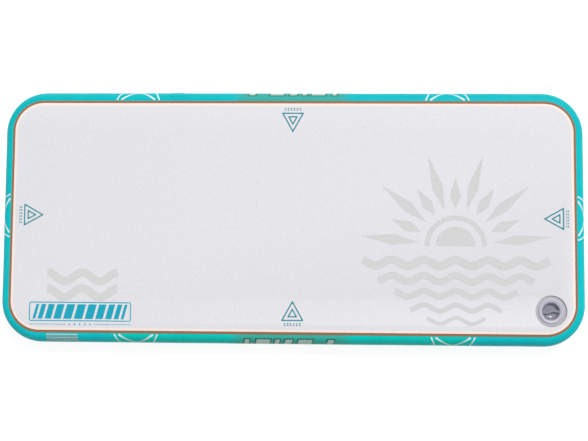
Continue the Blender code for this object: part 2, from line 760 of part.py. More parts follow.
def make_stem_rings(parts, axis, steel, rubber, plastic):
    inner = STEM_RADIUS + GAP
    small = SMALL_TURN_STEPS
    ring("spring_washer", inner, inner + WASHER_REACH, WASHER_Z, WASHER_THICKNESS, parts, steel, axis, small)
    seat = LOWER_BORE_RADIUS + SEAT_OVERLAP
    ring("valve_diaphragm", inner, seat, DIAPHRAGM_Z, DIAPHRAGM_THICKNESS, parts, rubber, axis, TURN_STEPS)
    ring("diaphragm_clip", inner, inner + CLIP_REACH, CLIP_Z, CLIP_THICKNESS, parts, plastic, axis, small)


def main():
    clear_scene()
    parts = new_collection("swim_float_mat")
    tools = new_collection("cutters")

    panel_fabric = new_material("panel_fabric", (0.78, 0.79, 0.80), 0.55)
    threads = new_material("core_threads", (0.86, 0.86, 0.84), 0.85)
    band_fabric = new_material("side_band", (0.008, 0.60, 0.59), 0.42)
    inner_fabric = new_material("inner_band", (0.62, 0.64, 0.66), 0.55)
    deck_orange = new_material("deck_base_foam", (0.62, 0.20, 0.06), 0.8)
    deck_grey = new_material("deck_foam", (0.76, 0.755, 0.79), 0.85)
    patch_grey = new_material("valve_patch", (0.42, 0.43, 0.45), 0.5)
    valve_grey = new_material("valve_plastic", (0.50, 0.51, 0.53), 0.45)
    cap_grey = new_material("cap_plastic", (0.27, 0.27, 0.30), 0.4)
    stem_plastic = new_material("stem_plastic", (0.10, 0.10, 0.11), 0.4)
    seal_rubber = new_material("seal_rubber", (0.02, 0.02, 0.02), 0.7)
    tether_rubber = new_material("tether_rubber", (0.22, 0.22, 0.24), 0.6)
    spring_steel = new_material("spring_steel", (0.60, 0.60, 0.58), 0.25, 1)

    make_sheets(parts, panel_fabric)
    make_drop_stitch_core(parts, tools, threads)
    make_side_bands(parts, band_fabric, inner_fabric)
    make_joint_strip(parts, band_fabric)
    make_deck(parts, tools, deck_orange, deck_grey)

    axis = new_object("valve_axis", None, parts)
    axis.location = (VALVE_X, VALVE_Y, 0)
    make_valve_patches(parts, axis, patch_grey, inner_fabric)
    make_valve_gasket(parts, axis, seal_rubber)
    make_valve_nut(parts, axis, valve_grey)
    make_valve_body(parts, tools, axis, valve_grey)
    make_valve_cap(parts, tools, axis, cap_grey)
    make_cap_o_ring(parts, axis, seal_rubber)
    make_cap_tether(parts, tools, axis, tether_rubber)
    make_stem_guide(parts, axis, stem_plastic)
    make_valve_stem(parts, tools, axis, stem_plastic)
    make_valve_spring(parts, axis, spring_steel)
    make_stem_rings(parts, axis, spring_steel, seal_rubber, stem_plastic)


main()
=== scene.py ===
# %% [markdown]
# # An inflatable swim mat, dressed round its measured frame
#
# The real mat is a drop-stitch panel: two coated sheets tied by thousands of threads, closed by a
# turquoise side band, with a foam deck glued on top and one inflation valve in a corner. The frame
# already holds every piece at its true size, so this lesson only gives those pieces their finish.
# It starts by loading the frame.

# %% Load the measured frame
import bisect
import math

import bmesh
import bpy
from mathutils import Matrix, Vector, noise


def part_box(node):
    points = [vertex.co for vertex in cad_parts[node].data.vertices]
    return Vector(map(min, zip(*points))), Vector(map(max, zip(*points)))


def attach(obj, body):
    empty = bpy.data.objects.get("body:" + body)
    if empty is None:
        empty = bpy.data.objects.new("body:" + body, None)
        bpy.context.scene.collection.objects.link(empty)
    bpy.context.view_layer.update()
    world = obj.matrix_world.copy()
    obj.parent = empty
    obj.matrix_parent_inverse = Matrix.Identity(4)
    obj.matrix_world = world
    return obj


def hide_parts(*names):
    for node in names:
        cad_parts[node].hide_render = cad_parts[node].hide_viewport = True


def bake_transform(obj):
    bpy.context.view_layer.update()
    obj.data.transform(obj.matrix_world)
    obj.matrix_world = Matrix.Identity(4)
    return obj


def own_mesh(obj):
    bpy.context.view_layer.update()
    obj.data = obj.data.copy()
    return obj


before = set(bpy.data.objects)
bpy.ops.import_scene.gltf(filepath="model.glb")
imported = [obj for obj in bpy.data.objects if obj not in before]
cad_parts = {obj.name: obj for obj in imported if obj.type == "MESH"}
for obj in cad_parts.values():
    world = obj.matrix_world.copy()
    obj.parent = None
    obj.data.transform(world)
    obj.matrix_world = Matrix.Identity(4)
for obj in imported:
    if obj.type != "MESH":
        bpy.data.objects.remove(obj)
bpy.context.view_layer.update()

# %% [markdown]
# ## Sizes that steer everything
#
# The seam line is where a flat sheet ends and the side starts to bulge. It could be typed in again,
# but the frame knows it: the top sheet stops exactly there. Only what the boxes can't tell, such as
# a cloth's thickness or a corner's radius, gets a value of its own.

# %% Read the main sizes from the frame
band_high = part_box("outer_side_band")[1]
sheet_low, sheet_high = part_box("top_sheet")
valve_low, valve_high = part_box("valve_body")

TOP_Z = band_high.z
MIDDLE_Z = TOP_Z / 2
SEAM_HALF_LENGTH = sheet_high.x
SEAM_HALF_WIDTH = sheet_high.y
SIDE_BULGE = band_high.x - SEAM_HALF_LENGTH
CORNER_RADIUS = 0.153
SEAM_RADIUS = CORNER_RADIUS - SIDE_BULGE
BAND_THICKNESS = 0.0009
SHEET_THICKNESS = 0.0010
OUTER_LAP = 0.025
INNER_LAP = 0.020
GAP = 0.0003
VALVE_X = (valve_low.x + valve_high.x) / 2
VALVE_Y = (valve_low.y + valve_high.y) / 2
QUARTER = math.radians(90)
FULL_TURN = math.radians(360)
print(f"seam {2 * SEAM_HALF_LENGTH:.3f} x {2 * SEAM_HALF_WIDTH:.3f} m, bulge {SIDE_BULGE:.4f} m")

# %% [markdown]
# ## The camera
#
# The mat was photographed from straight above, a few degrees off. The place and the angles come
# from fitting the mat's four corners and its valve to the picture. It is made first, so that every
# later cell can be judged through it.

# %% Place the camera
PICTURE_WIDTH_PX = 588
FOCAL_LENGTH_PX = 801
SENSOR_WIDTH_MM = 36
CAMERA_PLACE = (0.0940, -0.1865, 3.0077)
CAMERA_TILT = (0.0599, 0.0282, 0.0076)

lens = bpy.data.cameras.new("top_camera")
lens.sensor_width = SENSOR_WIDTH_MM
lens.lens = FOCAL_LENGTH_PX / PICTURE_WIDTH_PX * SENSOR_WIDTH_MM
camera = bpy.data.objects.new("top_camera", lens)
bpy.context.scene.collection.objects.link(camera)
camera.location = CAMERA_PLACE
camera.rotation_euler = CAMERA_TILT
bpy.context.scene.camera = camera
print(f"lens {lens.lens:.1f} mm, {camera.location.z - TOP_Z:.2f} m above the mat")

# %% [markdown]
# ## Helpers for finishes
#
# A finish on a real mat is never one flat colour: foam is embossed, coated cloth shows its weave
# and moulded plastic has a faint orange peel. Image textures could carry that, but they need
# unwrapping and they blur close up. Noise and wave nodes work at any distance, so each helper adds
# one of them. Colours are written as they look, from 0 to 255, and turned into the linear values
# that light needs. One helper makes every shader node: it sets a socket to a value, or links it to
# another's output.

# %% Colours and shader nodes
def seen(red, green, blue):
    # The fixed numbers are the sRGB standard's
    linear = []
    for value in (red, green, blue):
        share = value / 255
        linear.append(share / 12.92 if share <= 0.04045 else ((share + 0.055) / 1.055) ** 2.4)
    return tuple(linear)


def shaded(colour, share):
    return tuple(min(1, part * share) for part in colour)


def add_node(tree, kind, sockets=None, **settings):
    node = tree.nodes.new("ShaderNode" + kind)
    for key, value in settings.items():
        setattr(node, key, value)
    for key, value in (sockets or {}).items():
        if isinstance(value, bpy.types.NodeSocket):
            tree.links.new(value, node.inputs[key])
        else:
            node.inputs[key].default_value = value
    return node


def object_place(tree):
    return add_node(tree, "TexCoord").outputs["Object"]


print("colour check, mid grey:", [round(part, 3) for part in seen(128, 128, 128)])

# %% [markdown]
# Two textures are enough for everything here: soft noise, and parallel ribs. Both take their size
# in metres, because the scale of a texture node is its reverse and hard to picture. The sums that
# join them are Math nodes, and one short function makes any of those.

# %% Noise, ribs and sums
# At a scale of one, a wave texture goes through 20 radians in each metre
WAVE_TEXTURE_RADIANS = 20


def cloud(tree, place, size, detail=2):
    # Soft blotches about as wide as size, in metres
    sockets = {"Vector": place, "Scale": 1 / size, "Detail": detail}
    return add_node(tree, "TexNoise", sockets).outputs["Fac"]


def ribs(tree, place, pitch, turn=0):
    # Parallel ribs, one every pitch metres
    turned = add_node(tree, "Mapping", {"Vector": place, "Rotation": (0, 0, turn)})
    scale = FULL_TURN / WAVE_TEXTURE_RADIANS / pitch
    sockets = {"Vector": turned.outputs["Vector"], "Scale": scale}
    return add_node(tree, "TexWave", sockets, bands_direction="X").outputs["Fac"]


def combine(tree, operation, first, second):
    return add_node(tree, "Math", {0: first, 1: second}, operation=operation).outputs["Value"]


print(f"ribs 1 mm apart have a texture scale of {FULL_TURN / WAVE_TEXTURE_RADIANS / 0.001:.0f}")

# %% [markdown]
# Every finish starts from the same idea: soft blotches change its colour and its roughness
# together, and a height of its own is added as bump. Only the size of the blotches, how far they
# reach and what makes the height differ from foam to cloth to plastic.

# %% Start a blotched finish
DRIFT_FROM, DRIFT_TO = 0.3, 0.7


def blotched_finish(name, colour, roughness, blotch, contrast, sockets):
    # roughness is its plain, least and most value, and blotch its width in metres and its detail
    finish = bpy.data.materials.new(name)
    finish.use_nodes = True
    finish.diffuse_color = (*colour, 1)
    tree = finish.node_tree
    shader = tree.nodes["Principled BSDF"]
    plain, least, most = roughness
    sockets = {"Base Color": (*colour, 1), "Roughness": plain, **sockets}
    for key, value in sockets.items():
        shader.inputs[key].default_value = value
    blotches = cloud(tree, object_place(tree), *blotch)
    ramp = add_node(tree, "ValToRGB", {"Fac": blotches})
    ends = ((DRIFT_FROM, 1 - contrast), (DRIFT_TO, 1 + contrast))
    for element, (position, share) in zip(ramp.color_ramp.elements, ends):
        element.position = position
        element.color = (*shaded(colour, share), 1)
    spread = add_node(tree, "MapRange", {"Value": blotches, "To Min": least, "To Max": most})
    tree.links.new(ramp.outputs["Color"], shader.inputs["Base Color"])
    tree.links.new(spread.outputs["Result"], shader.inputs["Roughness"])
    return finish, tree, shader, blotches


def raise_surface(tree, shader, height, depth):
    bump = add_node(tree, "Bump", {"Height": height, "Distance": depth})
    tree.links.new(bump.outputs["Normal"], shader.inputs["Normal"])


print(f"blotches reach from {DRIFT_FROM} to {DRIFT_TO} of the noise")

# %% [markdown]
# ## Foam
#
# The deck is closed-cell foam with a fine diamond emboss that grips a wet foot. The diamonds are
# where two sets of slanted ribs cross, so the lower of two wave textures gives their grooves, and a
# fine noise on top gives the foam its dry, chalky grain. Prints on the foam use the same recipe in
# another colour, so the emboss runs on through the ink as it does on the real mat.

# %% Make the foam finishes
EMBOSS_PITCH = 0.0055
EMBOSS_DEPTH = 0.00035
EMBOSS_SLANT = math.radians(52)
FOAM_GRAIN = 0.0011
FOAM_GRAIN_SHARE = 0.35
FOAM_BLOTCH = (0.012, 4)
FOAM_ROUGHNESS = (0.82, 0.74, 0.9)
FOAM_SHINE = {"Specular IOR Level": 0.25}


def foam_finish(name, colour, contrast=0.022, emboss=1):
    made = blotched_finish(name, colour, FOAM_ROUGHNESS, FOAM_BLOTCH, contrast, FOAM_SHINE)
    finish, tree, shader = made[:3]
    place = object_place(tree)
    one_way = ribs(tree, place, EMBOSS_PITCH, EMBOSS_SLANT)
    other_way = ribs(tree, place, EMBOSS_PITCH, -EMBOSS_SLANT)
    diamonds = combine(tree, "MINIMUM", one_way, other_way)
    grain = combine(tree, "MULTIPLY", cloud(tree, place, FOAM_GRAIN), FOAM_GRAIN_SHARE)
    raise_surface(tree, shader, combine(tree, "ADD", diamonds, grain), EMBOSS_DEPTH * emboss)
    return finish


deck_foam = foam_finish("deck_foam", seen(229, 228, 233))
pale_ink = foam_finish("deck_pale_ink", seen(213, 213, 213))
turquoise_ink = foam_finish("deck_turquoise_ink", seen(24, 166, 190), contrast=0.05)
pointer_ink = foam_finish("deck_pointer_ink", seen(60, 144, 158), contrast=0.05)
orange_foam = foam_finish("deck_base_foam", seen(158, 109, 80), contrast=0.06)
rim_foam = foam_finish("deck_pressed_rim", seen(251, 235, 227), contrast=0.012, emboss=0.3)
print("foam finishes:", deck_foam.name, rim_foam.name, turquoise_ink.name, orange_foam.name)

# %% [markdown]
# ## Coated cloth
#
# Panel and side band are woven polyester under a skin of PVC. The weave prints through the skin as
# a small, even crossing pattern. Side band cloth runs round corners and over the bulge, where plain
# object coordinates would smear, so the band carries its own map in metres: how far along the seam,
# and how far round its section. Flat sheets can use their plain coordinates.

# %% Make the coated cloth finishes
WEAVE_PITCH = 0.0016
WEAVE_DEPTH = 0.00006
CLOTH_BLOTCH = (0.045, 3)
CLOTH_DRIFT = (0.06, 0.08)
CLOTH_MAP = "cloth_metres"


def cloth_finish(name, colour, mapped=False, contrast=0.04, roughness=0.4, shine=0.3):
    drift = (roughness, roughness - CLOTH_DRIFT[0], roughness + CLOTH_DRIFT[1])
    sockets = {"Specular IOR Level": shine}
    finish, tree, shader = blotched_finish(name, colour, drift, CLOTH_BLOTCH, contrast, sockets)[:3]
    place = object_place(tree)
    if mapped:
        place = add_node(tree, "UVMap", uv_map=CLOTH_MAP).outputs["UV"]
    threads_along = ribs(tree, place, WEAVE_PITCH)
    threads_across = ribs(tree, place, WEAVE_PITCH, QUARTER)
    weave = combine(tree, "MULTIPLY", threads_along, threads_across)
    raise_surface(tree, shader, weave, WEAVE_DEPTH)
    return finish


print(f"one thread every {WEAVE_PITCH * 1000:.1f} mm")

# %% [markdown]
# The band isn't one even turquoise. A greener, lighter tint along the middle of the near side is
# painted light on the side that the lamp leaves in shade, a darker tint along the far side is
# painted shade on the side that faces the lamp, and behind the bars at the middle of both the ink
# is washed out to a duller green. Position in the object decides each share, through smooth steps
# with their ends in metres.

# %% Colour the side band, with painted light and shade
BAND_TURQUOISE = seen(4, 195, 202)
# Painted light tints the near side and painted shade tints the far side
BAND_NEAR_PAINTED_LIGHT = (1.0, 1.08, 0.88)
BAND_FAR_PAINTED_SHADE = (0.55, 0.89, 0.90)
NEAR_PAINTED_LIGHT_REACH = (0.70, 0.60)
FAR_PAINTED_SHADE_REACH = (0.25, 0.42)
WASHED_GREEN = seen(75, 162, 143)
WASHED_SHARE = 0.6
WASHED_REACH = (0.23, 0.17)
PRINT_ROUGHNESS = 0.45


def smooth_step(tree, value, zero_at, one_at):
    sockets = {"Value": value, "From Min": zero_at, "From Max": one_at}
    return add_node(tree, "MapRange", sockets, interpolation_type="SMOOTHSTEP").outputs["Result"]


def mixed(tree, kind, colour, share, tint):
    sockets = {"Fac": share, "Color1": colour, "Color2": (*tint, 1)}
    return add_node(tree, "MixRGB", sockets, blend_type=kind).outputs["Color"]


def band_finish():
    look = {"mapped": True, "contrast": 0.05, "roughness": PRINT_ROUGHNESS, "shine": 0.1}
    finish = cloth_finish("side_band_cloth", BAND_TURQUOISE, **look)
    tree = finish.node_tree
    shader = tree.nodes["Principled BSDF"]
    plain_ink = shader.inputs["Base Color"].links[0].from_socket
    parts = add_node(tree, "SeparateXYZ", {"Vector": object_place(tree)})
    distance = combine(tree, "ABSOLUTE", parts.outputs["X"], 0)
    # Painted light: the middle of the near side, in the lamp's shade, is tinted greener and lighter
    middle = smooth_step(tree, distance, *NEAR_PAINTED_LIGHT_REACH)
    near_side = combine(tree, "LESS_THAN", parts.outputs["Y"], 0)
    near_painted_light_share = combine(tree, "MULTIPLY", middle, near_side)
    # Painted shade: the far side, which faces the lamp, is darkened and loses red
    far_painted_shade_share = smooth_step(tree, parts.outputs["Y"], *FAR_PAINTED_SHADE_REACH)
    by_the_bars = smooth_step(tree, distance, *WASHED_REACH)
    washed_share = combine(tree, "MULTIPLY", by_the_bars, WASHED_SHARE)
    # Painted light on the near side first, then painted shade on the far side, then the washed
    # print
    near_painted_light_colour = mixed(tree, "MULTIPLY", plain_ink, near_painted_light_share, BAND_NEAR_PAINTED_LIGHT)
    far_painted_shade_colour = mixed(tree, "MULTIPLY", near_painted_light_colour, far_painted_shade_share, BAND_FAR_PAINTED_SHADE)
    washed = mixed(tree, "MIX", far_painted_shade_colour, washed_share, WASHED_GREEN)
    tree.links.new(washed, shader.inputs["Base Color"])
    return finish


def band_ink(name, colour):
    return cloth_finish(name, colour, mapped=True, roughness=PRINT_ROUGHNESS)


band_cloth = band_finish()
dark_print = band_ink("band_dark_print", seen(28, 104, 88))
white_print = band_ink("band_white_print", seen(216, 240, 238))
bar_print = band_ink("band_bar_print", seen(180, 210, 200))
orange_print = band_ink("band_orange_print", seen(226, 136, 84))
panel_cloth = cloth_finish("panel_cloth", seen(226, 227, 229))
inner_cloth = cloth_finish("inner_band_cloth", seen(205, 208, 211), mapped=True)
patch_cloth = cloth_finish("valve_patch_cloth", seen(184, 184, 192), roughness=0.5)
print("cloth finishes:", band_cloth.name, panel_cloth.name, patch_cloth.name)

# %% [markdown]
# ## Hard and rubbery parts
#
# The valve is moulded nylon with a faint orange peel, its seals are matt rubber, the spring is
# drawn steel and the core is plain yarn. One recipe serves them all: a fine noise that drives a
# little colour, roughness and height together, because on a moulding these change in the same
# spots.

# %% Make the valve and core finishes
PEEL_DETAIL = 3
PEEL_DRIFT = 0.07
MOULDINGS = {
    # Name: colour, roughness, width and height of the peel in metres, contrast, other sockets
    "valve_plastic": (seen(190, 189, 201), 0.42, 0.0016, 0.00003, 0.05, {}),
    "cap_plastic": (seen(138, 137, 153), 0.21, 0.0014, 0.00002, 0.05, {"Specular IOR Level": 0.6}),
    "stem_plastic": (seen(70, 71, 78), 0.4, 0.0012, 0.00003, 0.05, {}),
    "seal_rubber": (seen(38, 38, 40), 0.72, 0.0006, 0.00002, 0.15, {}),
    "tether_rubber": (seen(120, 120, 128), 0.6, 0.0008, 0.00002, 0.1, {}),
    "spring_steel": (seen(200, 200, 198), 0.27, 0.0003, 0.00001, 0.06, {"Metallic": 1}),
    "core_yarn": (seen(238, 238, 234), 0.85, 0.0007, 0.00005, 0.08, {}),
}

moulded = {}
for name, (colour, roughness, peel_width, peel_height, contrast, sockets) in MOULDINGS.items():
    drift = (roughness, roughness - PEEL_DRIFT, roughness + PEEL_DRIFT)
    blotch = (peel_width, PEEL_DETAIL)
    finish, tree, shader, peel = blotched_finish(name, colour, drift, blotch, contrast, sockets)
    raise_surface(tree, shader, peel, peel_height)
    moulded[name] = finish
print("valve and core finishes:", *moulded)

# %% [markdown]
# ## Helpers for shapes
#
# Nearly every piece of this mat is one section carried along a path: the band's C section round the
# seam, a valve ring's section round its axis, a printed stroke along its own line. So one helper
# skins a row of equal loops of points with faces, and closes it into a ring or caps its ends. It is
# plain mesh code rather than a curve with a bevel, because the ripples of cloth need each point.

# %% Skin loops of points
WELD = 0.000002


def tidy(mesh):
    work = bmesh.new()
    work.from_mesh(mesh)
    bmesh.ops.remove_doubles(work, verts=work.verts, dist=WELD)
    bmesh.ops.recalc_face_normals(work, faces=work.faces)
    work.to_mesh(mesh)
    work.free()


def link(name, mesh):
    item = bpy.data.objects.new(name, mesh)
    bpy.context.scene.collection.objects.link(item)
    return item


def from_bmesh(name, work):
    mesh = bpy.data.meshes.new(name)
    work.to_mesh(mesh)
    work.free()
    return link(name, mesh)


def skin(name, loops, ring, along=None, around=None):
    # along and around are lengths in metres, one more than there are spans, for the cloth's map
    count = len(loops[0])
    spans = len(loops) if ring else len(loops) - 1
    faces = []
    for span in range(spans):
        this = span * count
        after = (span + 1) % len(loops) * count
        for corner in range(count):
            following = (corner + 1) % count
            faces.append((this + corner, after + corner, after + following, this + following))
    if not ring:
        faces.append(tuple(range(count)))
        faces.append(tuple(range((len(loops) - 1) * count, len(loops) * count)))
    mesh = bpy.data.meshes.new(name)
    mesh.from_pydata([point for loop in loops for point in loop], [], faces)
    if along:
        metres = mesh.uv_layers.new(name=CLOTH_MAP)
        for face in range(spans * count):
            span, corner = divmod(face, count)
            corners = ((0, 0), (1, 0), (1, 1), (0, 1))
            for place, (further, beside) in enumerate(corners, face * 4):
                metres.data[place].uv = (along[span + further], around[corner + beside])
    tidy(mesh)
    return link(name, mesh)


print(f"points within {WELD * 1000000:.0f} thousandths of a millimetre are welded")

# %% [markdown]
# Flat pieces are the other kind: an outline, perhaps with holes, given a thickness. A 2D curve
# fills such an outline by itself, holes and all, and is then turned into a mesh. Every piece ends
# in the same place: it gets its finish and its smooth shading, rides on its body, and names the
# plain solid that it stands for.

# %% Cut plates and settle pieces
BEVEL_ANGLE = math.radians(40)
CREASE_ANGLE = math.radians(35)


def settle(item):
    # Turns a curve, or a mesh with modifiers, into the plain mesh that it shows
    bpy.context.view_layer.update()
    shown = item.evaluated_get(bpy.context.evaluated_depsgraph_get())
    mesh = bpy.data.meshes.new_from_object(shown)
    mesh.transform(item.matrix_world)
    tidy(mesh)
    name = item.name
    bpy.data.objects.remove(item)
    return link(name, mesh)


def plate(name, outlines, bottom, thickness):
    curve = bpy.data.curves.new(name, "CURVE")
    curve.dimensions = "2D"
    curve.fill_mode = "BOTH"
    curve.extrude = thickness / 2
    for outline in outlines:
        spline = curve.splines.new("POLY")
        spline.points.add(len(outline) - 1)
        for control, (x, y) in zip(spline.points, outline):
            control.co = (x, y, 0, 1)
        spline.use_cyclic_u = True
    item = link(name, curve)
    item.location.z = bottom + thickness / 2
    return settle(item)


def round_edges(item, radius, segments=3):
    bevel = item.modifiers.new("Rounded edges", "BEVEL")
    bevel.width = radius
    bevel.segments = segments
    bevel.limit_method = "ANGLE"
    bevel.angle_limit = BEVEL_ANGLE
    return settle(item)


def cut(item, tool, operation="DIFFERENCE"):
    boolean = item.modifiers.new("Cut", "BOOLEAN")
    boolean.operation = operation
    boolean.solver = "EXACT"
    boolean.object = tool
    made = settle(item)
    bpy.data.objects.remove(tool)
    return made


def finish_piece(item, finish, body="root", stands_for=()):
    item.data.materials.clear()
    item.data.materials.append(finish)
    item.data.shade_smooth()
    item.data.set_sharp_from_angle(angle=CREASE_ANGLE)
    if body:
        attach(item, body)
    if stands_for:
        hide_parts(*stands_for)
    print(f"{item.name}: {len(item.data.polygons)} faces on {body or 'two bodies'}")


# %% [markdown]
# Nothing moulded, cut or printed has a perfectly sharp corner. Blender's bevel rounds the edges of
# a mesh, but an outline can be rounded while it is still a list of points, which is quicker and
# leaves a cleaner mesh. Arcs and circles are lists of points too, so all three can be mixed.

# %% Round outlines, draw arcs and circles
LARGEST_ROUNDED_SHARE = 0.45


def rounded(points, radius, steps=4):
    # Each corner becomes a short curve that starts and ends within its two edges
    made = []
    for index, corner in enumerate(points):
        here = Vector(corner)
        before = Vector(points[index - 1]) - here
        after = Vector(points[(index + 1) % len(points)]) - here
        start = here + before * min(LARGEST_ROUNDED_SHARE, radius / max(before.length, WELD))
        end = here + after * min(LARGEST_ROUNDED_SHARE, radius / max(after.length, WELD))
        for step in range(steps + 1):
            share = step / steps
            spot = start.lerp(here, share).lerp(here.lerp(end, share), share)
            made.append(tuple(spot))
    return made


def arc(centre_x, centre_y, radius, start, sweep, steps):
    points = []
    for step in range(steps + 1):
        angle = start + sweep * step / steps
        points.append((centre_x + radius * math.cos(angle), centre_y + radius * math.sin(angle)))
    return points


def circle(radius, centre_x=0, centre_y=0, steps=128):
    return arc(centre_x, centre_y, radius, 0, FULL_TURN, steps)[:-1]


print("a rounded square has", len(rounded([(0, 0), (1, 0), (1, 1), (0, 1)], 0.1)), "points")

# %% [markdown]
# ## The seam and the wall
#
# Everything on the side follows two lines: the seam, a rounded rectangle, and the wall's section,
# half an ellipse, since air pushes the band out between the two sheets. Measuring the section by
# its own length, from the top seam down, lets prints keep their true size on the curved wall.

# %% Walk round the seam
STRAIGHT_PITCH = 0.012
CORNER_STEPS = 96


def seam_corner(turn):
    side_x = (1, 1, -1, -1)[turn]
    side_y = (-1, 1, 1, -1)[turn]
    centre_x = side_x * (SEAM_HALF_LENGTH - SEAM_RADIUS)
    centre_y = side_y * (SEAM_HALF_WIDTH - SEAM_RADIUS)
    return centre_x, centre_y


def seam_stations():
    # Places on the seam, anticlockwise from the near right corner, each with its outward direction
    stations = []
    for turn in range(4):
        centre_x, centre_y = seam_corner(turn)
        for step in range(CORNER_STEPS + 1):
            angle = QUARTER * (turn - 1 + step / CORNER_STEPS)
            out = Vector((math.cos(angle), math.sin(angle)))
            stations.append((Vector((centre_x, centre_y)) + out * SEAM_RADIUS, out))
        next_x, next_y = seam_corner((turn + 1) % 4)
        start = stations[-1][0]
        end = Vector((next_x, next_y)) + stations[-1][1] * SEAM_RADIUS
        count = round((end - start).length / STRAIGHT_PITCH)
        for step in range(1, count):
            stations.append((start.lerp(end, step / count), stations[-1][1]))
    return stations


def seam_outline(offset, steps=24):
    points = []
    for turn in range(4):
        centre_x, centre_y = seam_corner(turn)
        start = QUARTER * (turn - 1)
        points += arc(centre_x, centre_y, SEAM_RADIUS + offset, start, QUARTER, steps)
    return points


STATIONS = seam_stations()
print("stations round the seam:", len(STATIONS))

# %% [markdown]
# Cloth pulled round a corner has too much length at the seam, and gathers into small puckers there,
# while the long sides only breathe a little. Both are displacements of a few tenths of a
# millimetre. A cloth simulation could find them, but a wave inside the corners and a soft noise
# along the sides give the same look in no time, and the prints can follow the very same function.

# %% Give the wall its curve and its ripples
RIPPLE_DEPTH = 0.0005
RIPPLE_LENGTH = 0.11
PUCKER_DEPTH = 0.0007
PUCKERS = 14
PUCKER_REACH_SHARE = 0.10
PUCKER_CREST_SHARE = 1.1 * PUCKER_REACH_SHARE
SEAM_FADE_SHARE = 0.04
ELLIPSE_STEPS = 256


def ellipse_lengths():
    lengths = [0]
    last = Vector((0, MIDDLE_Z))
    for step in range(1, ELLIPSE_STEPS + 1):
        angle = QUARTER - 2 * QUARTER * step / ELLIPSE_STEPS
        spot = Vector((SIDE_BULGE * math.cos(angle), MIDDLE_Z * math.sin(angle)))
        lengths.append(lengths[-1] + (spot - last).length)
        last = spot
    return lengths


ELLIPSE_LENGTHS = ellipse_lengths()
WALL_LENGTH = ELLIPSE_LENGTHS[-1]


def wall_angle(share):
    wanted = min(max(share, 0), 1) * WALL_LENGTH
    index = min(bisect.bisect_left(ELLIPSE_LENGTHS, wanted), ELLIPSE_STEPS)
    if index == 0:
        return QUARTER
    low, high = ELLIPSE_LENGTHS[index - 1], ELLIPSE_LENGTHS[index]
    step = index - 1 + (wanted - low) / (high - low)
    return QUARTER - 2 * QUARTER * step / ELLIPSE_STEPS


def ripple(spot, share):
    across = abs(spot.x) - (SEAM_HALF_LENGTH - SEAM_RADIUS)
    along = abs(spot.y) - (SEAM_HALF_WIDTH - SEAM_RADIUS)
    soft = noise.noise(Vector((spot.x / RIPPLE_LENGTH, spot.y / RIPPLE_LENGTH, share * 2)))
    height = RIPPLE_DEPTH * soft * math.sin(2 * QUARTER * share)
    if across > 0 and along > 0:
        turn = math.atan2(along, across) / QUARTER
        near_seam = 0
        for crest in (PUCKER_CREST_SHARE, 1 - PUCKER_CREST_SHARE):
            near_seam += math.exp(-((share - crest) / PUCKER_REACH_SHARE) ** 2)
        fold = math.cos(FULL_TURN * (PUCKERS * turn + soft / 2))
        held_flat = min(1, share / SEAM_FADE_SHARE, (1 - share) / SEAM_FADE_SHARE)
        fade = math.sin(2 * QUARTER * turn) * held_flat
        height -= PUCKER_DEPTH * near_seam * fade * (0.5 + 0.5 * fold)
    return height


def wall_point(spot, out, share, lift, bulge=None, half_height=None):
    bulge = bulge or SIDE_BULGE
    half_height = half_height or MIDDLE_Z
    angle = wall_angle(share)
    normal = Vector((half_height * math.cos(angle), bulge * math.sin(angle))).normalized()
    height = lift + ripple(spot, share)
    sideways = bulge * math.cos(angle) + normal.x * height
    upwards = half_height * math.sin(angle) + normal.y * height
    place = spot + out * sideways
    return (place.x, place.y, MIDDLE_Z + upwards)


print(f"the wall is {WALL_LENGTH * 1000:.0f} mm from seam to seam")

# %% [markdown]
# ## Side bands
#
# Two walls close the panel: a pale inner one inside the sheets, and the turquoise outer one lapped
# over them and glued. Each is a ring of cloth with its real thickness and its laps, so its cut edge
# shows from below. Both come from one function that carries a C section round the seam.

# %% Make the outer and inner side bands
WALL_STEPS = 28


def wall_section(spot, out, lap, bulge, half_height):
    shares = [step / WALL_STEPS for step in range(WALL_STEPS + 1)]
    outside = [wall_point(spot, out, share, 0, bulge, half_height) for share in shares]
    inside = [wall_point(spot, out, share, -BAND_THICKNESS, bulge, half_height) for share in shares]
    lap_spot = spot - out * lap
    top = MIDDLE_Z + half_height
    low = MIDDLE_Z - half_height
    outside = [(lap_spot.x, lap_spot.y, top), *outside, (lap_spot.x, lap_spot.y, low)]
    inner_top = (lap_spot.x, lap_spot.y, top - BAND_THICKNESS)
    inner_low = (lap_spot.x, lap_spot.y, low + BAND_THICKNESS)
    return outside + [inner_low, *inside[::-1], inner_top]


def running_lengths(points, closed=True):
    lengths = [0]
    ends = list(points[1:]) + ([points[0]] if closed else [])
    for start, end in zip(points, ends):
        lengths.append(lengths[-1] + (Vector(end) - Vector(start)).length)
    return lengths


def band_ring(name, lap, bulge, half_height):
    loops = [wall_section(spot, out, lap, bulge, half_height) for spot, out in STATIONS]
    along = running_lengths([spot for spot, out in STATIONS])
    around = running_lengths(loops[0])
    return skin(name, loops, True, along, around)


outer_band = band_ring("side_band_cloth", OUTER_LAP, SIDE_BULGE, MIDDLE_Z)
finish_piece(outer_band, band_cloth, stands_for=["outer_side_band"])

inner_low, inner_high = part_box("inner_side_band")
inner_bulge = inner_high.x - SEAM_HALF_LENGTH
inner_half_height = (inner_high.z - inner_low.z) / 2
inner_band = band_ring("inner_band_cloth", INNER_LAP, inner_bulge, inner_half_height)
finish_piece(inner_band, inner_cloth, stands_for=["inner_side_band"])

# %% [markdown]
# The outer band is one long strip, and a short welded strip covers the joint of its ends on the far
# side. It lies on the band like a plaster, so it uses the same wall with a small lift, and its own
# edges run out thin, as a hot weld leaves them.

# %% Cover the joint of the band's ends
strip_low, strip_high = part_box("side_band_joint_strip")
STRIP_FIRST_SHARE = 0.115
STRIP_SPAN_SHARE = 1 - 2 * STRIP_FIRST_SHARE
STRIP_COLUMNS = 8
STRIP_ROWS = 26
STRIP_EDGE_SHARE = 0.15


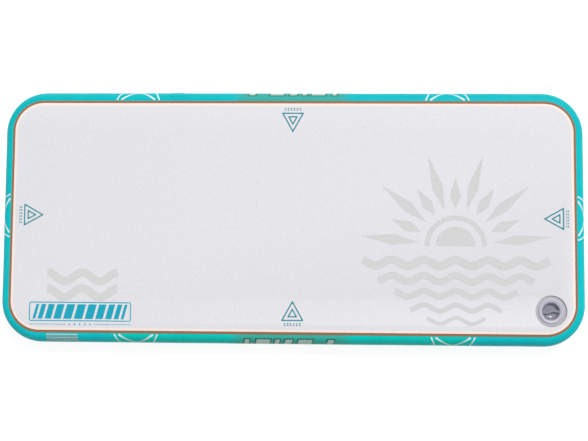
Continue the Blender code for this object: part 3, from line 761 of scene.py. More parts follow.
def joint_strip_loops():
    loops = []
    for column in range(STRIP_COLUMNS + 1):
        x = strip_high.x + (strip_low.x - strip_high.x) * column / STRIP_COLUMNS
        spot = Vector((x, SEAM_HALF_WIDTH))
        out = Vector((0, 1))
        upper = []
        lower = []
        for row in range(STRIP_ROWS + 1):
            share = STRIP_FIRST_SHARE + STRIP_SPAN_SHARE * row / STRIP_ROWS
            from_edge = min(row, STRIP_ROWS - row, 2 * column, 2 * (STRIP_COLUMNS - column))
            thickness = BAND_THICKNESS * min(1, STRIP_EDGE_SHARE + from_edge / 2)
            upper.append(wall_point(spot, out, share, GAP + thickness))
            lower.append(wall_point(spot, out, share, GAP))
        loops.append(upper + lower[::-1])
    return loops


strip_loops = joint_strip_loops()
strip_along = [STRAIGHT_PITCH * column for column in range(STRIP_COLUMNS + 1)]
strip_around = running_lengths(strip_loops[0])
joint_strip = skin("band_joint_tape", strip_loops, False, strip_along, strip_around)
finish_piece(joint_strip, band_cloth, stands_for=["side_band_joint_strip"])

# %% [markdown]
# ## Panel sheets and core
#
# The sheets are flat because the core's threads hold them so. Each is a plate, and a grid would do
# as well, but a plate takes the seam's own outline, and the upper one a true hole for the valve.

# %% Make the two sheets
VALVE_HOLE_RADIUS = 0.0348

bottom_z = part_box("bottom_sheet")[0].z
valve_hole = circle(VALVE_HOLE_RADIUS, VALVE_X, VALVE_Y)
top_sheet = plate("top_sheet_cloth", [seam_outline(0), valve_hole], sheet_low.z, SHEET_THICKNESS)
finish_piece(top_sheet, panel_cloth, stands_for=["top_sheet"])
bottom_sheet = plate("bottom_sheet_cloth", [seam_outline(0)], bottom_z, SHEET_THICKNESS)
finish_piece(bottom_sheet, panel_cloth, stands_for=["bottom_sheet"])

# %% [markdown]
# The core is two woven faces with rows of threads between them: nobody sees it, but the mat would
# be a balloon without it, so it is there, one thread tuft every 24 mm. All the tufts are made in
# one bmesh, because hundreds of separate objects would be slow to make and to show.

# %% Make the drop-stitch core
THREAD_PITCH = 0.024
THREAD_RADIUS = 0.0004
THREAD_SIDES = 5
THREAD_EDGE_MARGIN = 0.008
CORE_FACE = 0.0004
CORE_HOLE_MARGIN = 0.0195
core_low, core_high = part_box("drop_stitch_core")
core_inset = SEAM_HALF_LENGTH - core_high.x
core_hole = VALVE_HOLE_RADIUS + CORE_HOLE_MARGIN


def thread_tufts():
    work = bmesh.new()
    reach_x = core_high.x - THREAD_EDGE_MARGIN
    reach_y = core_high.y - THREAD_EDGE_MARGIN
    columns = int(reach_x / THREAD_PITCH)
    rows = int(reach_y / THREAD_PITCH)
    middle = (core_low.z + core_high.z) / 2
    depth = core_high.z - core_low.z - CORE_FACE
    corner_x, corner_y = seam_corner(1)
    for column in range(-columns, columns + 1):
        for row in range(-rows, rows + 1):
            x = column * THREAD_PITCH
            y = row * THREAD_PITCH
            corner = math.hypot(max(abs(x) - corner_x, 0), max(abs(y) - corner_y, 0))
            clear = math.hypot(x - VALVE_X, y - VALVE_Y) > core_hole + THREAD_EDGE_MARGIN
            if clear and corner < SEAM_RADIUS - core_inset - THREAD_EDGE_MARGIN:
                bmesh.ops.create_cone(
                    work, cap_ends=True, segments=THREAD_SIDES, radius1=THREAD_RADIUS,
                    radius2=THREAD_RADIUS, depth=depth, matrix=Matrix.Translation((x, y, middle)),
                )
    return from_bmesh("drop_stitch_threads", work)


threads = thread_tufts()
finish_piece(threads, moulded["core_yarn"], stands_for=["drop_stitch_core"])
lower_face = plate("core_lower_face", [seam_outline(-core_inset)], core_low.z, CORE_FACE)
finish_piece(lower_face, moulded["core_yarn"])
upper_outlines = [seam_outline(-core_inset), circle(core_hole, VALVE_X, VALVE_Y)]
upper_face = plate("core_upper_face", upper_outlines, core_high.z - CORE_FACE, CORE_FACE)
finish_piece(upper_face, moulded["core_yarn"])

# %% [markdown]
# ## Foam deck
#
# The deck is two foams glued together: an orange base, and the pale grey pad cut back by nine
# millimetres so that the base shows as a fine line. Die-cut foam has softly rounded edges. A bevel
# on a flat plate gives just that, and the base keeps its thinner rim where it lies over the band.

# %% Make the orange base and the grey pad
EDGE_ROUNDING = 0.0008
DECK_CORNER_STEPS = 48
PATCH_CLEARANCE = 0.0010
base_low, base_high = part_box("deck_pad_base")
pad_low, pad_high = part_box("deck_pad")
base_inset = SEAM_HALF_LENGTH - base_high.x
pad_inset = SEAM_HALF_LENGTH - pad_high.x
patch_low, patch_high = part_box("valve_patch")
patch_radius = (patch_high.x - patch_low.x) / 2
DECK_HOLE_RADIUS = patch_radius + PATCH_CLEARANCE
deck_hole = circle(DECK_HOLE_RADIUS, VALVE_X, VALVE_Y)


def foam_plate(name, inset, low, high):
    outlines = [seam_outline(-inset, DECK_CORNER_STEPS), deck_hole]
    return plate(name, outlines, low.z, high.z - low.z)


base = foam_plate("deck_base_foam", base_inset, base_low, base_high)
rebate_bottom = base_low.z - WELD - GAP
rebate_top = TOP_Z + GAP
rebate_outlines = [seam_outline(OUTER_LAP), seam_outline(-OUTER_LAP - 3 * GAP)]
rebate = plate("rebate", rebate_outlines, rebate_bottom, rebate_top - rebate_bottom)
base = cut(base, rebate)
base = round_edges(base, EDGE_ROUNDING / 2)
finish_piece(base, orange_foam, stands_for=["deck_pad_base"])

# %% [markdown]
# The pad's border is pressed flat and smooth when it is die-cut, so a paler rim a few millimetres
# wide, without emboss, runs round it. A press would be a sculpting tool; here a ring with a thin
# wedge section is cut away, and the faces that it leaves get the rim's foam.

# %% Press the pad's rim
RIM_WIDTH = 0.0085
RIM_DEPTH = 0.0006
RIM_SLOPE_START = 0.75
RIM_SLOPE_DEPTH = 0.7
RIM_OVERRUN = 0.002
pad_top = pad_high.z


def outer_rim_tool():
    wedge = [
        (-pad_inset - RIM_WIDTH, pad_top),
        (-pad_inset - RIM_WIDTH, pad_top + RIM_OVERRUN),
        (-pad_inset + RIM_OVERRUN, pad_top + RIM_OVERRUN),
        (-pad_inset + RIM_OVERRUN, pad_top - RIM_DEPTH),
        (-pad_inset - RIM_WIDTH * RIM_SLOPE_START, pad_top - RIM_DEPTH * RIM_SLOPE_DEPTH),
    ]
    loops = []
    for spot, out in STATIONS:
        loops.append([(*(spot + out * offset), height) for offset, height in wedge])
    return skin("rim_tool", loops, True)


pad = foam_plate("deck_pad_foam", pad_inset, pad_low, pad_high)
pad = cut(pad, outer_rim_tool())
pad = round_edges(pad, EDGE_ROUNDING)
finish_piece(pad, deck_foam, stands_for=["deck_pad"])
pad.data.materials.append(rim_foam)
pressed = 0
for face in pad.data.polygons:
    from_valve = math.hypot(face.center.x - VALVE_X, face.center.y - VALVE_Y)
    clear_of_hole = from_valve > DECK_HOLE_RADIUS + EDGE_ROUNDING
    if clear_of_hole and pad_low.z + WELD < face.center.z < pad_top - WELD:
        face.material_index = 1
        pressed += 1
print("faces of the pressed rim:", pressed)

# %% [markdown]
# ## Prints on the deck
#
# The ink lies on the foam in areas of one colour. Painting it inside the foam's material would
# work, but its edge would be only as sharp as a baked texture, so each print is its own film, a
# tenth of a millimetre thick. The designs are plain ornaments: rays, waves, slanted bars and small
# pointers.

# %% Make printed films
FILM_THICKNESS = 0.00012
FILM_CLEARANCE = 0.00003
INK_ROUNDING = 0.004
FINE_INK_ROUNDING = 0.002


def deck_print(name, outlines, finish):
    film = plate(name, outlines, pad_top + FILM_CLEARANCE, FILM_THICKNESS)
    finish_piece(film, finish)


def stroke(points, width, waist=1):
    # The outline of a line through the points, narrowed to that share of its width in the middle
    left = []
    right = []
    for index, point in enumerate(points):
        before = Vector(points[max(index - 1, 0)])
        after = Vector(points[min(index + 1, len(points) - 1)])
        way = (after - before).normalized()
        end_share = abs(2 * index / (len(points) - 1) - 1)
        side = Vector((-way.y, way.x)) * width / 2 * (waist + (1 - waist) * end_share)
        left.append(tuple(Vector(point) + side))
        right.append(tuple(Vector(point) - side))
    return right + left[::-1]


def wave(start_x, end_x, middle_y, swing, length, steps_per_wave=24):
    steps = round((end_x - start_x) / length * steps_per_wave)
    points = []
    for step in range(steps + 1):
        x = start_x + (end_x - start_x) * step / steps
        phase = FULL_TURN * (x - (start_x + end_x) / 2) / length
        points.append((x, middle_y + swing * math.cos(phase)))
    return points


print(f"films lie {FILM_CLEARANCE * 1000:.2f} mm above the foam")

# %% [markdown]
# The large pale ornament fills the right third: a half sun whose rays fan out to the width of the
# waves below it. Each ray is a long kite, and every second one is shorter, which keeps the fan
# light.

# %% Print the half sun and the waves
SUN_X = 0.594
SUN_Y = -0.103
SUN_RADIUS = 0.072
SUN_RING = (0.094, 0.112)
RAYS = 11
RAY_START = 0.134
RAY_REACH = (0.345, 0.250)
RAY_WIDTH = 0.040
RAY_BELLY_SHARE = 0.42
RAY_FAN = math.radians(168)
SUN_STEPS = 64
WAVE_SWING = 0.011
WAVE_LENGTH = 0.115
WAVE_ROWS = (
    (-0.163, 0.335, 0.030),
    (-0.220, 0.278, 0.026),
    (-0.274, 0.220, 0.022),
    (-0.324, 0.163, 0.018),
    (-0.370, 0.105, 0.014),
)


def ray_outline(angle, reach):
    way = Vector((math.cos(angle), math.sin(angle)))
    side = Vector((-way.y, way.x)) * RAY_WIDTH / 2
    centre = Vector((SUN_X, SUN_Y))
    belly = centre + way * (RAY_START + (reach - RAY_START) * RAY_BELLY_SHARE)
    corners = [centre + way * RAY_START, belly - side, centre + way * reach, belly + side]
    return rounded([tuple(corner) for corner in corners], INK_ROUNDING)


def half_circle(radius):
    return arc(SUN_X, SUN_Y, radius, 0, 2 * QUARTER, SUN_STEPS)


sun_outlines = [half_circle(SUN_RADIUS), half_circle(SUN_RING[1]) + half_circle(SUN_RING[0])[::-1]]
for ray in range(RAYS):
    ray_angle = QUARTER - RAY_FAN / 2 + RAY_FAN * ray / (RAYS - 1)
    sun_outlines.append(ray_outline(ray_angle, RAY_REACH[ray % 2]))
deck_print("print_half_sun", sun_outlines, pale_ink)

wave_outlines = []
for row_y, half_width, width in WAVE_ROWS:
    ends = (SUN_X - half_width, SUN_X + half_width)
    wave_outlines.append(stroke(wave(*ends, row_y, WAVE_SWING, WAVE_LENGTH), width))
deck_print("print_waves", wave_outlines, pale_ink)

# %% [markdown]
# The near left corner carries a turquoise frame of slanted bars with a fine line and dots below it.
# Bars and dots come from loops, so their rhythm is easy to change.

# %% Print the corner ornament
BOX_LEFT, BOX_RIGHT = -0.9505, -0.5775
BOX_LOW, BOX_HIGH = -0.3840, -0.3140
BOX_LINE = 0.0038
BOX_ROUNDING = 0.008
BAR_INSET = 0.0085
BAR_SLANT = 0.014
BAR_COUNT = 11
BAR_LEAST = 0.007
BAR_SWELL = 0.024
UNDERLINE_Y = -0.3950
UNDERLINE_WIDTH = 0.0018
DOT_COUNT = 5
DOT_PITCH = 0.019
DOT_RADIUS = 0.0038
DOT_CORNERS = 4


def box_outline(inset):
    left, right = BOX_LEFT + inset, BOX_RIGHT - inset
    low, high = BOX_LOW + inset, BOX_HIGH - inset
    corners = [(left, low), (right, low), (right, high), (left, high)]
    return rounded(corners, BOX_ROUNDING - inset)


def slanted_bar(left, width, low, high, slant):
    return [(left, low), (left + width, low), (left + width + slant, high), (left + slant, high)]


bar_widths = []
for bar in range(BAR_COUNT):
    bar_widths.append(BAR_LEAST + BAR_SWELL * math.sin(2 * QUARTER * (bar + 0.5) / BAR_COUNT))
bar_room = BOX_RIGHT - BOX_LEFT - 3 * BAR_INSET - BAR_SLANT
bar_gap = (bar_room - sum(bar_widths)) / (BAR_COUNT - 1)
bar_left = BOX_LEFT + 1.5 * BAR_INSET
bar_outlines = []
for width in bar_widths:
    bar = slanted_bar(bar_left, width, BOX_LOW + BAR_INSET, BOX_HIGH - BAR_INSET, BAR_SLANT)
    bar_outlines.append(rounded(bar, FINE_INK_ROUNDING))
    bar_left += width + bar_gap
deck_print("print_bar_frame", [box_outline(0), box_outline(BOX_LINE)], turquoise_ink)
deck_print("print_slanted_bars", bar_outlines, turquoise_ink)

underline_middle = (BOX_LEFT + BOX_RIGHT) / 2
dots_half = DOT_PITCH * DOT_COUNT / 2 + DOT_RADIUS
underline = []
line_ends = (BOX_LEFT, underline_middle - dots_half), (underline_middle + dots_half, BOX_RIGHT)
for start_x, end_x in line_ends:
    underline.append(stroke([(start_x, UNDERLINE_Y), (end_x, UNDERLINE_Y)], UNDERLINE_WIDTH))
for dot in range(DOT_COUNT):
    dot_x = underline_middle + DOT_PITCH * (dot - (DOT_COUNT - 1) / 2)
    underline.append(circle(DOT_RADIUS, dot_x, UNDERLINE_Y, DOT_CORNERS))
deck_print("print_underline", underline, turquoise_ink)

# %% [markdown]
# Above that frame lies a pale double wave. It is bolder and slower than the waves under the sun,
# but it is the same stroke along the same kind of line, with more steps to keep its wide bends
# smooth.

# %% Print the pale double wave
PALE_LEFT, PALE_RIGHT = -0.887, -0.629
PALE_ROWS = (-0.223, -0.281)
PALE_SWING = 0.016
PALE_LENGTH = 0.129
PALE_WIDTH = 0.030
PALE_STEPS = 36

pale_outlines = []
for row_y in PALE_ROWS:
    line = wave(PALE_LEFT, PALE_RIGHT, row_y, PALE_SWING, PALE_LENGTH, PALE_STEPS)
    pale_outlines.append(stroke(line, PALE_WIDTH))
deck_print("print_double_wave", pale_outlines, pale_ink)

# %% [markdown]
# A small turquoise pointer marks the middle of each side. It is a triangle in outline with a
# smaller one inside and two rows of dashes at its foot. It is drawn once, pointing along +X, and
# then turned.

# %% Print the four side pointers
POINTER_LENGTH = 0.0743
POINTER_HALF_WIDTH = 0.0415
POINTER_LINE = 0.0048
POINTER_CORE_SHARE = 0.46
DASH_ROWS = (0.0092, 0.0152)
DASH_COUNT = 6
DASH_PITCH = 0.0110
DASH_LENGTH = 0.0062
DASH_WIDTH = 0.0034
POINTERS = {
    "left": (-0.9788, 0.0027, 0),
    "right": (0.9822, -0.0020, 180),
    "far": (0.0043, 0.3820, 270),
    "near": (0.0071, -0.3762, 90),
}


def pointer_outlines():
    # Scaled about the middle of its inscribed circle, a triangle keeps the same line on every side
    slope = math.hypot(POINTER_LENGTH, POINTER_HALF_WIDTH)
    middle_x = POINTER_LENGTH * POINTER_HALF_WIDTH / (POINTER_HALF_WIDTH + slope)
    line_share = POINTER_LINE / middle_x
    outlines = []
    for share, rounding in (
        (1, INK_ROUNDING),
        (1 - line_share, INK_ROUNDING),
        (POINTER_CORE_SHARE, INK_ROUNDING),
        (POINTER_CORE_SHARE - line_share, FINE_INK_ROUNDING),
    ):
        foot = middle_x - middle_x * share
        tip = middle_x + (POINTER_LENGTH - middle_x) * share
        half = POINTER_HALF_WIDTH * share
        outlines.append(rounded([(foot, -half), (tip, 0), (foot, half)], rounding))
    for offset in DASH_ROWS:
        for dash in range(DASH_COUNT):
            middle = DASH_PITCH * (dash - (DASH_COUNT - 1) / 2)
            edge = [(-offset, middle - DASH_LENGTH / 2), (-offset, middle + DASH_LENGTH / 2)]
            outlines.append(stroke(edge, DASH_WIDTH))
    return outlines


def placed(points, x, y, degrees):
    turn = Matrix.Rotation(math.radians(degrees), 2)
    spots = [turn @ Vector(point) for point in points]
    return [(spot.x + x, spot.y + y) for spot in spots]


for side_name, (x, y, degrees) in POINTERS.items():
    outlines = [placed(outline, x, y, degrees) for outline in pointer_outlines()]
    deck_print("print_pointer_" + side_name, outlines, pointer_ink)

# %% [markdown]
# ## Prints on the wall
#
# White ornaments sit on the side band: a deep bend with a short stroke at each end, once on each
# short side and twice on each long one, mirrored below mid-height. A stroke here is a thin skin
# that follows the wall, ripples included, so it is built from the wall's own function: u runs along
# the side and v down the wall from the top seam, both in metres.

# %% Lay strokes on the wall
PRINT_LIFT = 0.00025
PRINT_FOOT_LIFT = PRINT_LIFT / 4
LANES = 5
SIDES = {
    "near": (Vector((0, -SEAM_HALF_WIDTH)), Vector((1, 0)), Vector((0, -1))),
    "far": (Vector((0, SEAM_HALF_WIDTH)), Vector((-1, 0)), Vector((0, 1))),
    "left": (Vector((-SEAM_HALF_LENGTH, 0)), Vector((0, -1)), Vector((-1, 0))),
    "right": (Vector((SEAM_HALF_LENGTH, 0)), Vector((0, 1)), Vector((1, 0))),
}


def wall_stroke(points, width, waist=1):
    # The two edges of a stroke, each a row of places (u, v)
    outline = stroke(points, width, waist)
    return outline[:len(points)], outline[len(points):][::-1]


def wall_loops(side, edges, lift):
    middle, run, out = SIDES[side]
    loops = []
    for right, left in zip(*edges):
        upper = []
        lower = []
        for lane in range(LANES):
            u, v = Vector(right).lerp(Vector(left), lane / (LANES - 1))
            spot = middle + run * u
            upper.append(wall_point(spot, out, v / WALL_LENGTH, lift))
            lower.append(wall_point(spot, out, v / WALL_LENGTH, PRINT_FOOT_LIFT))
        loops.append(upper + lower[::-1])
    return loops


def wall_print(name, side, strokes, finish, lift=PRINT_LIFT):
    parts = []
    for edges in strokes:
        loops = wall_loops(side, edges, lift)
        along = running_lengths(edges[0], closed=False)
        parts.append(skin(name + "_part", loops, False, along, running_lengths(loops[0])))
    with bpy.context.temp_override(active_object=parts[0], selected_editable_objects=parts):
        bpy.ops.object.join()
    parts[0].name = name
    finish_piece(parts[0], finish)


def line_between(start, end, steps=12):
    return [tuple(Vector(start).lerp(Vector(end), step / steps)) for step in range(steps + 1)]


print(f"wall prints stand {PRINT_LIFT * 1000:.2f} mm proud")

# %% [markdown]
# Each ornament is one bend, a hyperbola that is straight at its ends and round at its tip, between
# two short strokes. It is drawn in the upper half and mirrored into the lower one.

# %% Print the ornaments
BEND_SLOPE = 0.74
BEND_DEPTH = 0.0495
BEND_ROUNDING = 0.006
BEND_HALF_SPAN = 0.0625
BEND_WIDTH = 0.0070
BEND_WAIST = 0.65
BEND_STEPS = 48
END_STROKE_WIDTH = 0.0052
END_STROKE = ((0.0785, 0.0015), (0.0610, 0.0440))
ORNAMENT_PLACES = {
    "near": (-0.560, 0.584),
    "far": (-0.567, 0.567),
    "left": (0,),
    "right": (0,),
}


def mirrored(points, low):
    return [(u, WALL_LENGTH - v if low else v) for u, v in points]


def ornament(middle_u):
    strokes = []
    for low in (False, True):
        bend = []
        for step in range(BEND_STEPS + 1):
            u = BEND_HALF_SPAN * (2 * step / BEND_STEPS - 1)
            bend.append((middle_u + u, BEND_DEPTH - math.hypot(BEND_SLOPE * u, BEND_ROUNDING)))
        strokes.append(wall_stroke(mirrored(bend, low), BEND_WIDTH, BEND_WAIST))
        for side in (-1, 1):
            ends = [(middle_u + side * u, v) for u, v in END_STROKE]
            strokes.append(wall_stroke(mirrored(line_between(*ends), low), END_STROKE_WIDTH))
    return strokes


for side_name, places in ORNAMENT_PLACES.items():
    for number, middle_u in enumerate(places, 1):
        wall_print(f"print_bend_{side_name}_{number}", side_name, ornament(middle_u), white_print)

# %% [markdown]
# Between the ornaments runs a row of slanted bars with a darker outline, and the near side has a
# small block of fine stripes close to its left corner. Outline and bar are two films, one above the
# other.

# %% Print the bars and the striped block
BAR_LEFTS = (-0.172, -0.130, -0.062, -0.026, 0.022, 0.128)
WALL_BAR_WIDTHS = (0.016, 0.050, 0.016, 0.026, 0.050, 0.022)
WALL_BAR_TOPS = {"near": 0.018, "far": 0.0250}
WALL_BAR_SLANT = 0.018
WALL_BAR_STEPS = 20
OUTLINE_WIDTH = 0.0055
OUTLINE_LIFT = PRINT_LIFT * 0.6
STRIPES_U = (-0.888, -0.772)
STRIPE_PITCH = 0.0075
STRIPE_WIDTH = 0.0021
STRIPE_COUNT = 6
STRIPE_TOP = 0.0045


def wall_bars(top_v, margin):
    strokes = []
    for left, width in zip(BAR_LEFTS, WALL_BAR_WIDTHS):
        corners = []
        for u in (left - margin, left + width + margin):
            top = (u + WALL_BAR_SLANT / 2, top_v - margin)
            foot = (u - WALL_BAR_SLANT / 2, WALL_LENGTH - top_v + margin)
            corners.append(line_between(top, foot, WALL_BAR_STEPS))
        strokes.append(corners)
    return strokes


for side_name, top_v in WALL_BAR_TOPS.items():
    outlines = wall_bars(top_v, OUTLINE_WIDTH)
    wall_print("print_bar_outlines_" + side_name, side_name, outlines, dark_print, OUTLINE_LIFT)
    wall_print("print_wall_bars_" + side_name, side_name, wall_bars(top_v, 0), bar_print)

for first, ink_name, ink in ((0, "pale", white_print), (1, "orange", orange_print)):
    stripes = []
    for stripe in range(first, STRIPE_COUNT, 2):
        v = STRIPE_TOP + STRIPE_PITCH * stripe
        line = line_between((STRIPES_U[0], v), (STRIPES_U[1], v))
        stripes.append(wall_stroke(line, STRIPE_WIDTH))
    wall_print("print_stripes_" + ink_name, "near", stripes, ink)

# %% [markdown]
# ## Valve
#
# The valve is turned work: every ring of it is a section spun round one axis. The sections repeat
# the frame's levels, but with rounded corners and three times its facets, because this is where a
# viewer zooms in. Heights are read from the frame's boxes, and radii are named here.

# %% Turn a ring about the valve's axis
TURN_STEPS = 128
FINE_ROUNDING = 0.0003


def upright(section, angle, radius=0, height=0):
    # Stands a section up at an angle round the valve's axis, its zero at that radius and height
    points = []
    for across, up in section:
        reach = max(radius + across, 0)
        x = VALVE_X + reach * math.cos(angle)
        y = VALVE_Y + reach * math.sin(angle)
        points.append((x, y, height + up))
    return points


def lathe(name, profile, rounding, steps=TURN_STEPS):
    section = rounded(profile, rounding)
    loops = [upright(section, FULL_TURN * step / steps) for step in range(steps)]
    return skin(name, loops, True)


def flat_ring(name, inner, outer, bottom, top):
    profile = [(inner, top), (outer, top), (outer, bottom), (inner, bottom)]
    return lathe(name, profile, FINE_ROUNDING)


patch = flat_ring("valve_patch_disc", VALVE_HOLE_RADIUS, patch_radius, patch_low.z, patch_high.z)
finish_piece(patch, patch_cloth, stands_for=["valve_patch"])

backing_low, backing_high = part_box("valve_backing_patch")
backing_radius = (backing_high.x - backing_low.x) / 2
backing = flat_ring(
    "valve_backing_disc", VALVE_HOLE_RADIUS, backing_radius, backing_low.z, backing_high.z
)
finish_piece(backing, patch_cloth, stands_for=["valve_backing_patch"])

# %% [markdown]
# The body is one moulding: a dished flange on the patch, a cup that the cap sinks into, a neck and
# the barrel below. Cap, tether and stem all fit into it, so its radii and levels come first. A
# level that follows from another is a sum, so that one change carries through the whole valve.

# %% Set the valve's radii and levels
NECK_BORE_RADIUS = 0.0180
NECK_RADIUS = 0.0235
BARREL_RADIUS = 0.0205
LOWER_BORE_RADIUS = 0.0160
CUP_INNER_RADIUS = 0.0318
CUP_RADIUS = 0.0345
FLANGE_RADIUS = (valve_high.x - valve_low.x) / 2
FLANGE_CREST = 0.0036
FLANGE_EDGE = 0.0009
LIP_DRAFT = 0.0012
CUP_LIP_DROP = 0.0018
FLANGE_THICKNESS = 0.0038
NECK_HEIGHT = 0.0030
CUP_FLOOR = 0.0020
CAP_LEAD = 0.036
LUG_RADIUS = 0.0012
GASKET_INSET = 0.0027
cap_low, cap_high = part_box("valve_cap")
ring_low, ring_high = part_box("cap_o_ring")
FLANGE_TOP_Z = valve_high.z
FLANGE_Z = FLANGE_TOP_Z - FLANGE_THICKNESS
CUP_LIP_Z = FLANGE_TOP_Z - CUP_LIP_DROP
NECK_TOP_Z = ring_low.z - GAP
WELL_FLOOR_Z = NECK_TOP_Z - NECK_HEIGHT
CUP_BOTTOM_Z = WELL_FLOOR_Z - CUP_FLOOR
guide_low, guide_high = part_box("stem_guide")
LEDGE_Z = guide_low.z - GAP
LUG_Z = NECK_TOP_Z + GAP + LUG_RADIUS - CAP_LEAD / 4
gasket_low, gasket_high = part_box("valve_gasket")
gasket_outer = (gasket_high.x - gasket_low.x) / 2 + GAP
gasket_inner = CUP_RADIUS + GASKET_INSET
gasket_top = gasket_high.z + GAP
print(f"flange {2 * FLANGE_RADIUS:.3f} m wide, neck's top at {NECK_TOP_Z:.4f} m")

# %% [markdown]
# One profile, turned, gives the whole body. Two helical grooves in the neck take the cap's ball
# lugs. A screw modifier could wind them, but a round bar swept along a helix can be cut
# away with its true lead and its true ends.

# %% Make the valve body
GROOVE_START, GROOVE_END = math.radians(-9), math.radians(114)
GROOVE_CLEARANCE = 0.00035
GROOVE_STEPS = 40
ROUND_BAR_SIDES = 20
BODY_ROUNDING = 0.0006

body_profile = [
    (CUP_INNER_RADIUS, CUP_LIP_Z - LIP_DRAFT),
    (CUP_INNER_RADIUS + LIP_DRAFT, CUP_LIP_Z),
    (CUP_RADIUS + LIP_DRAFT, CUP_LIP_Z),
    (FLANGE_RADIUS - 2 * FLANGE_CREST, FLANGE_TOP_Z),
    (FLANGE_RADIUS - FLANGE_CREST, FLANGE_TOP_Z),
    (FLANGE_RADIUS, FLANGE_Z + FLANGE_EDGE),
    (FLANGE_RADIUS, FLANGE_Z),
    (gasket_outer, FLANGE_Z),
    (gasket_outer, gasket_top),
    (gasket_inner, gasket_top),
    (gasket_inner, FLANGE_Z),
    (CUP_RADIUS, FLANGE_Z),
    (CUP_RADIUS, CUP_BOTTOM_Z),
    (BARREL_RADIUS, CUP_BOTTOM_Z),
    (BARREL_RADIUS, valve_low.z),
    (LOWER_BORE_RADIUS, valve_low.z),
    (LOWER_BORE_RADIUS, LEDGE_Z),
    (NECK_BORE_RADIUS, LEDGE_Z),
    (NECK_BORE_RADIUS, NECK_TOP_Z),
    (NECK_RADIUS, NECK_TOP_Z),
    (NECK_RADIUS, WELL_FLOOR_Z),
    (CUP_INNER_RADIUS, WELL_FLOOR_Z),
]


def groove_bar(side):
    section = circle(LUG_RADIUS + GROOVE_CLEARANCE, steps=ROUND_BAR_SIDES)
    loops = []
    for step in range(GROOVE_STEPS + 1):
        turn = GROOVE_START + (GROOVE_END - GROOVE_START) * step / GROOVE_STEPS
        height = LUG_Z + CAP_LEAD * turn / FULL_TURN
        loops.append(upright(section, turn + 2 * QUARTER * side, NECK_BORE_RADIUS, height))
    return skin(f"groove_{side}", loops, False)


valve_body = lathe("valve_collar", body_profile, BODY_ROUNDING)
for side in range(2):
    valve_body = cut(valve_body, groove_bar(side))
finish_piece(valve_body, moulded["valve_plastic"], stands_for=["valve_body"])

# %% [markdown]
# The cap is a bowl that never stands proud, with a wavy grip bar across it. Its bowl is rounder and
# wider than the plain one in the frame, as the shading of the real cap shows. Bowl and plug are
# turned, the bar is a plate whose middle line is one wave, and a union makes them one moulding. Two
# balls on the plug run in the neck's grooves.

# %% Make the cap
CAP_RIM_WIDTH = 0.0022
CAP_RADIUS = (cap_high.x - cap_low.x) / 2
RECESS_RADIUS = CAP_RADIUS - CAP_RIM_WIDTH
CAP_RECESS_DEPTH = 0.0120
CAP_BOWL_WIDTH = 0.0135
BOWL_STEPS = 12
CAP_FLOOR = 0.0015
CAP_ROUNDING = 0.0008
PLUG_RADIUS = 0.0172
PLUG_WALL = 0.0027
GRIP_BAR_WIDTH = 0.0078
GRIP_BAR_OFFSET = 0.0012
GRIP_BAR_DROP = 0.0008
GRIP_ROUNDING = 0.0009
GRIP_STEPS = 48
GRIP_SWING = 0.13 * RECESS_RADIUS
GRIP_SHIFT = 0.14 * RECESS_RADIUS
CAP_FLOOR_Z = cap_high.z - CAP_RECESS_DEPTH
CAP_UNDERSIDE_Z = CAP_FLOOR_Z - CAP_FLOOR


def bowl_curve():
    # A quarter of an ellipse, from the flat floor up to the rim
    points = []
    for step in range(BOWL_STEPS + 1):
        angle = QUARTER * step / BOWL_STEPS
        radius = RECESS_RADIUS - CAP_BOWL_WIDTH + CAP_BOWL_WIDTH * math.sin(angle)
        points.append((radius, cap_high.z - CAP_RECESS_DEPTH * math.cos(angle)))
    return points


cap_profile = [
    (CAP_RADIUS, cap_high.z),
    (CAP_RADIUS, CAP_UNDERSIDE_Z),
    (PLUG_RADIUS, CAP_UNDERSIDE_Z),
    (PLUG_RADIUS, cap_low.z),
    (PLUG_RADIUS - PLUG_WALL, cap_low.z),
    (PLUG_RADIUS - PLUG_WALL, CAP_UNDERSIDE_Z),
    (0, CAP_UNDERSIDE_Z),
    (0, CAP_FLOOR_Z),
    *bowl_curve(),
]


def grip_outline():
    reach = RECESS_RADIUS + CAP_RIM_WIDTH / 4
    upper = []
    lower = []
    for step in range(GRIP_STEPS + 1):
        along = 2 * reach * step / GRIP_STEPS - reach
        phase = 2 * QUARTER * (along + GRIP_SHIFT) / RECESS_RADIUS
        middle = VALVE_Y + GRIP_SWING * math.sin(phase) - GRIP_BAR_OFFSET
        slope = GRIP_SWING * 2 * QUARTER / RECESS_RADIUS * math.cos(phase)
        half = GRIP_BAR_WIDTH / 2 * math.hypot(1, slope)
        upper.append((VALVE_X + along, middle + half))
        lower.append((VALVE_X + along, middle - half))
    return lower + upper[::-1]


def lug(side):
    work = bmesh.new()
    place = Matrix.Translation((VALVE_X + side * NECK_BORE_RADIUS, VALVE_Y, LUG_Z))
    bmesh.ops.create_uvsphere(work, u_segments=24, v_segments=16, radius=LUG_RADIUS, matrix=place)
    return from_bmesh("lug", work)


cap = lathe("cap_shell", cap_profile, CAP_ROUNDING)
grip_bottom = CAP_FLOOR_Z - CAP_FLOOR / 2
grip = plate("grip_bar", [grip_outline()], grip_bottom, cap_high.z - GRIP_BAR_DROP - grip_bottom)
grip = round_edges(grip, GRIP_ROUNDING)
cap = cut(cap, grip, "UNION")
for side in (1, -1):
    cap = cut(cap, lug(side), "UNION")
finish_piece(cap, moulded["cap_plastic"], "cap", stands_for=["valve_cap"])
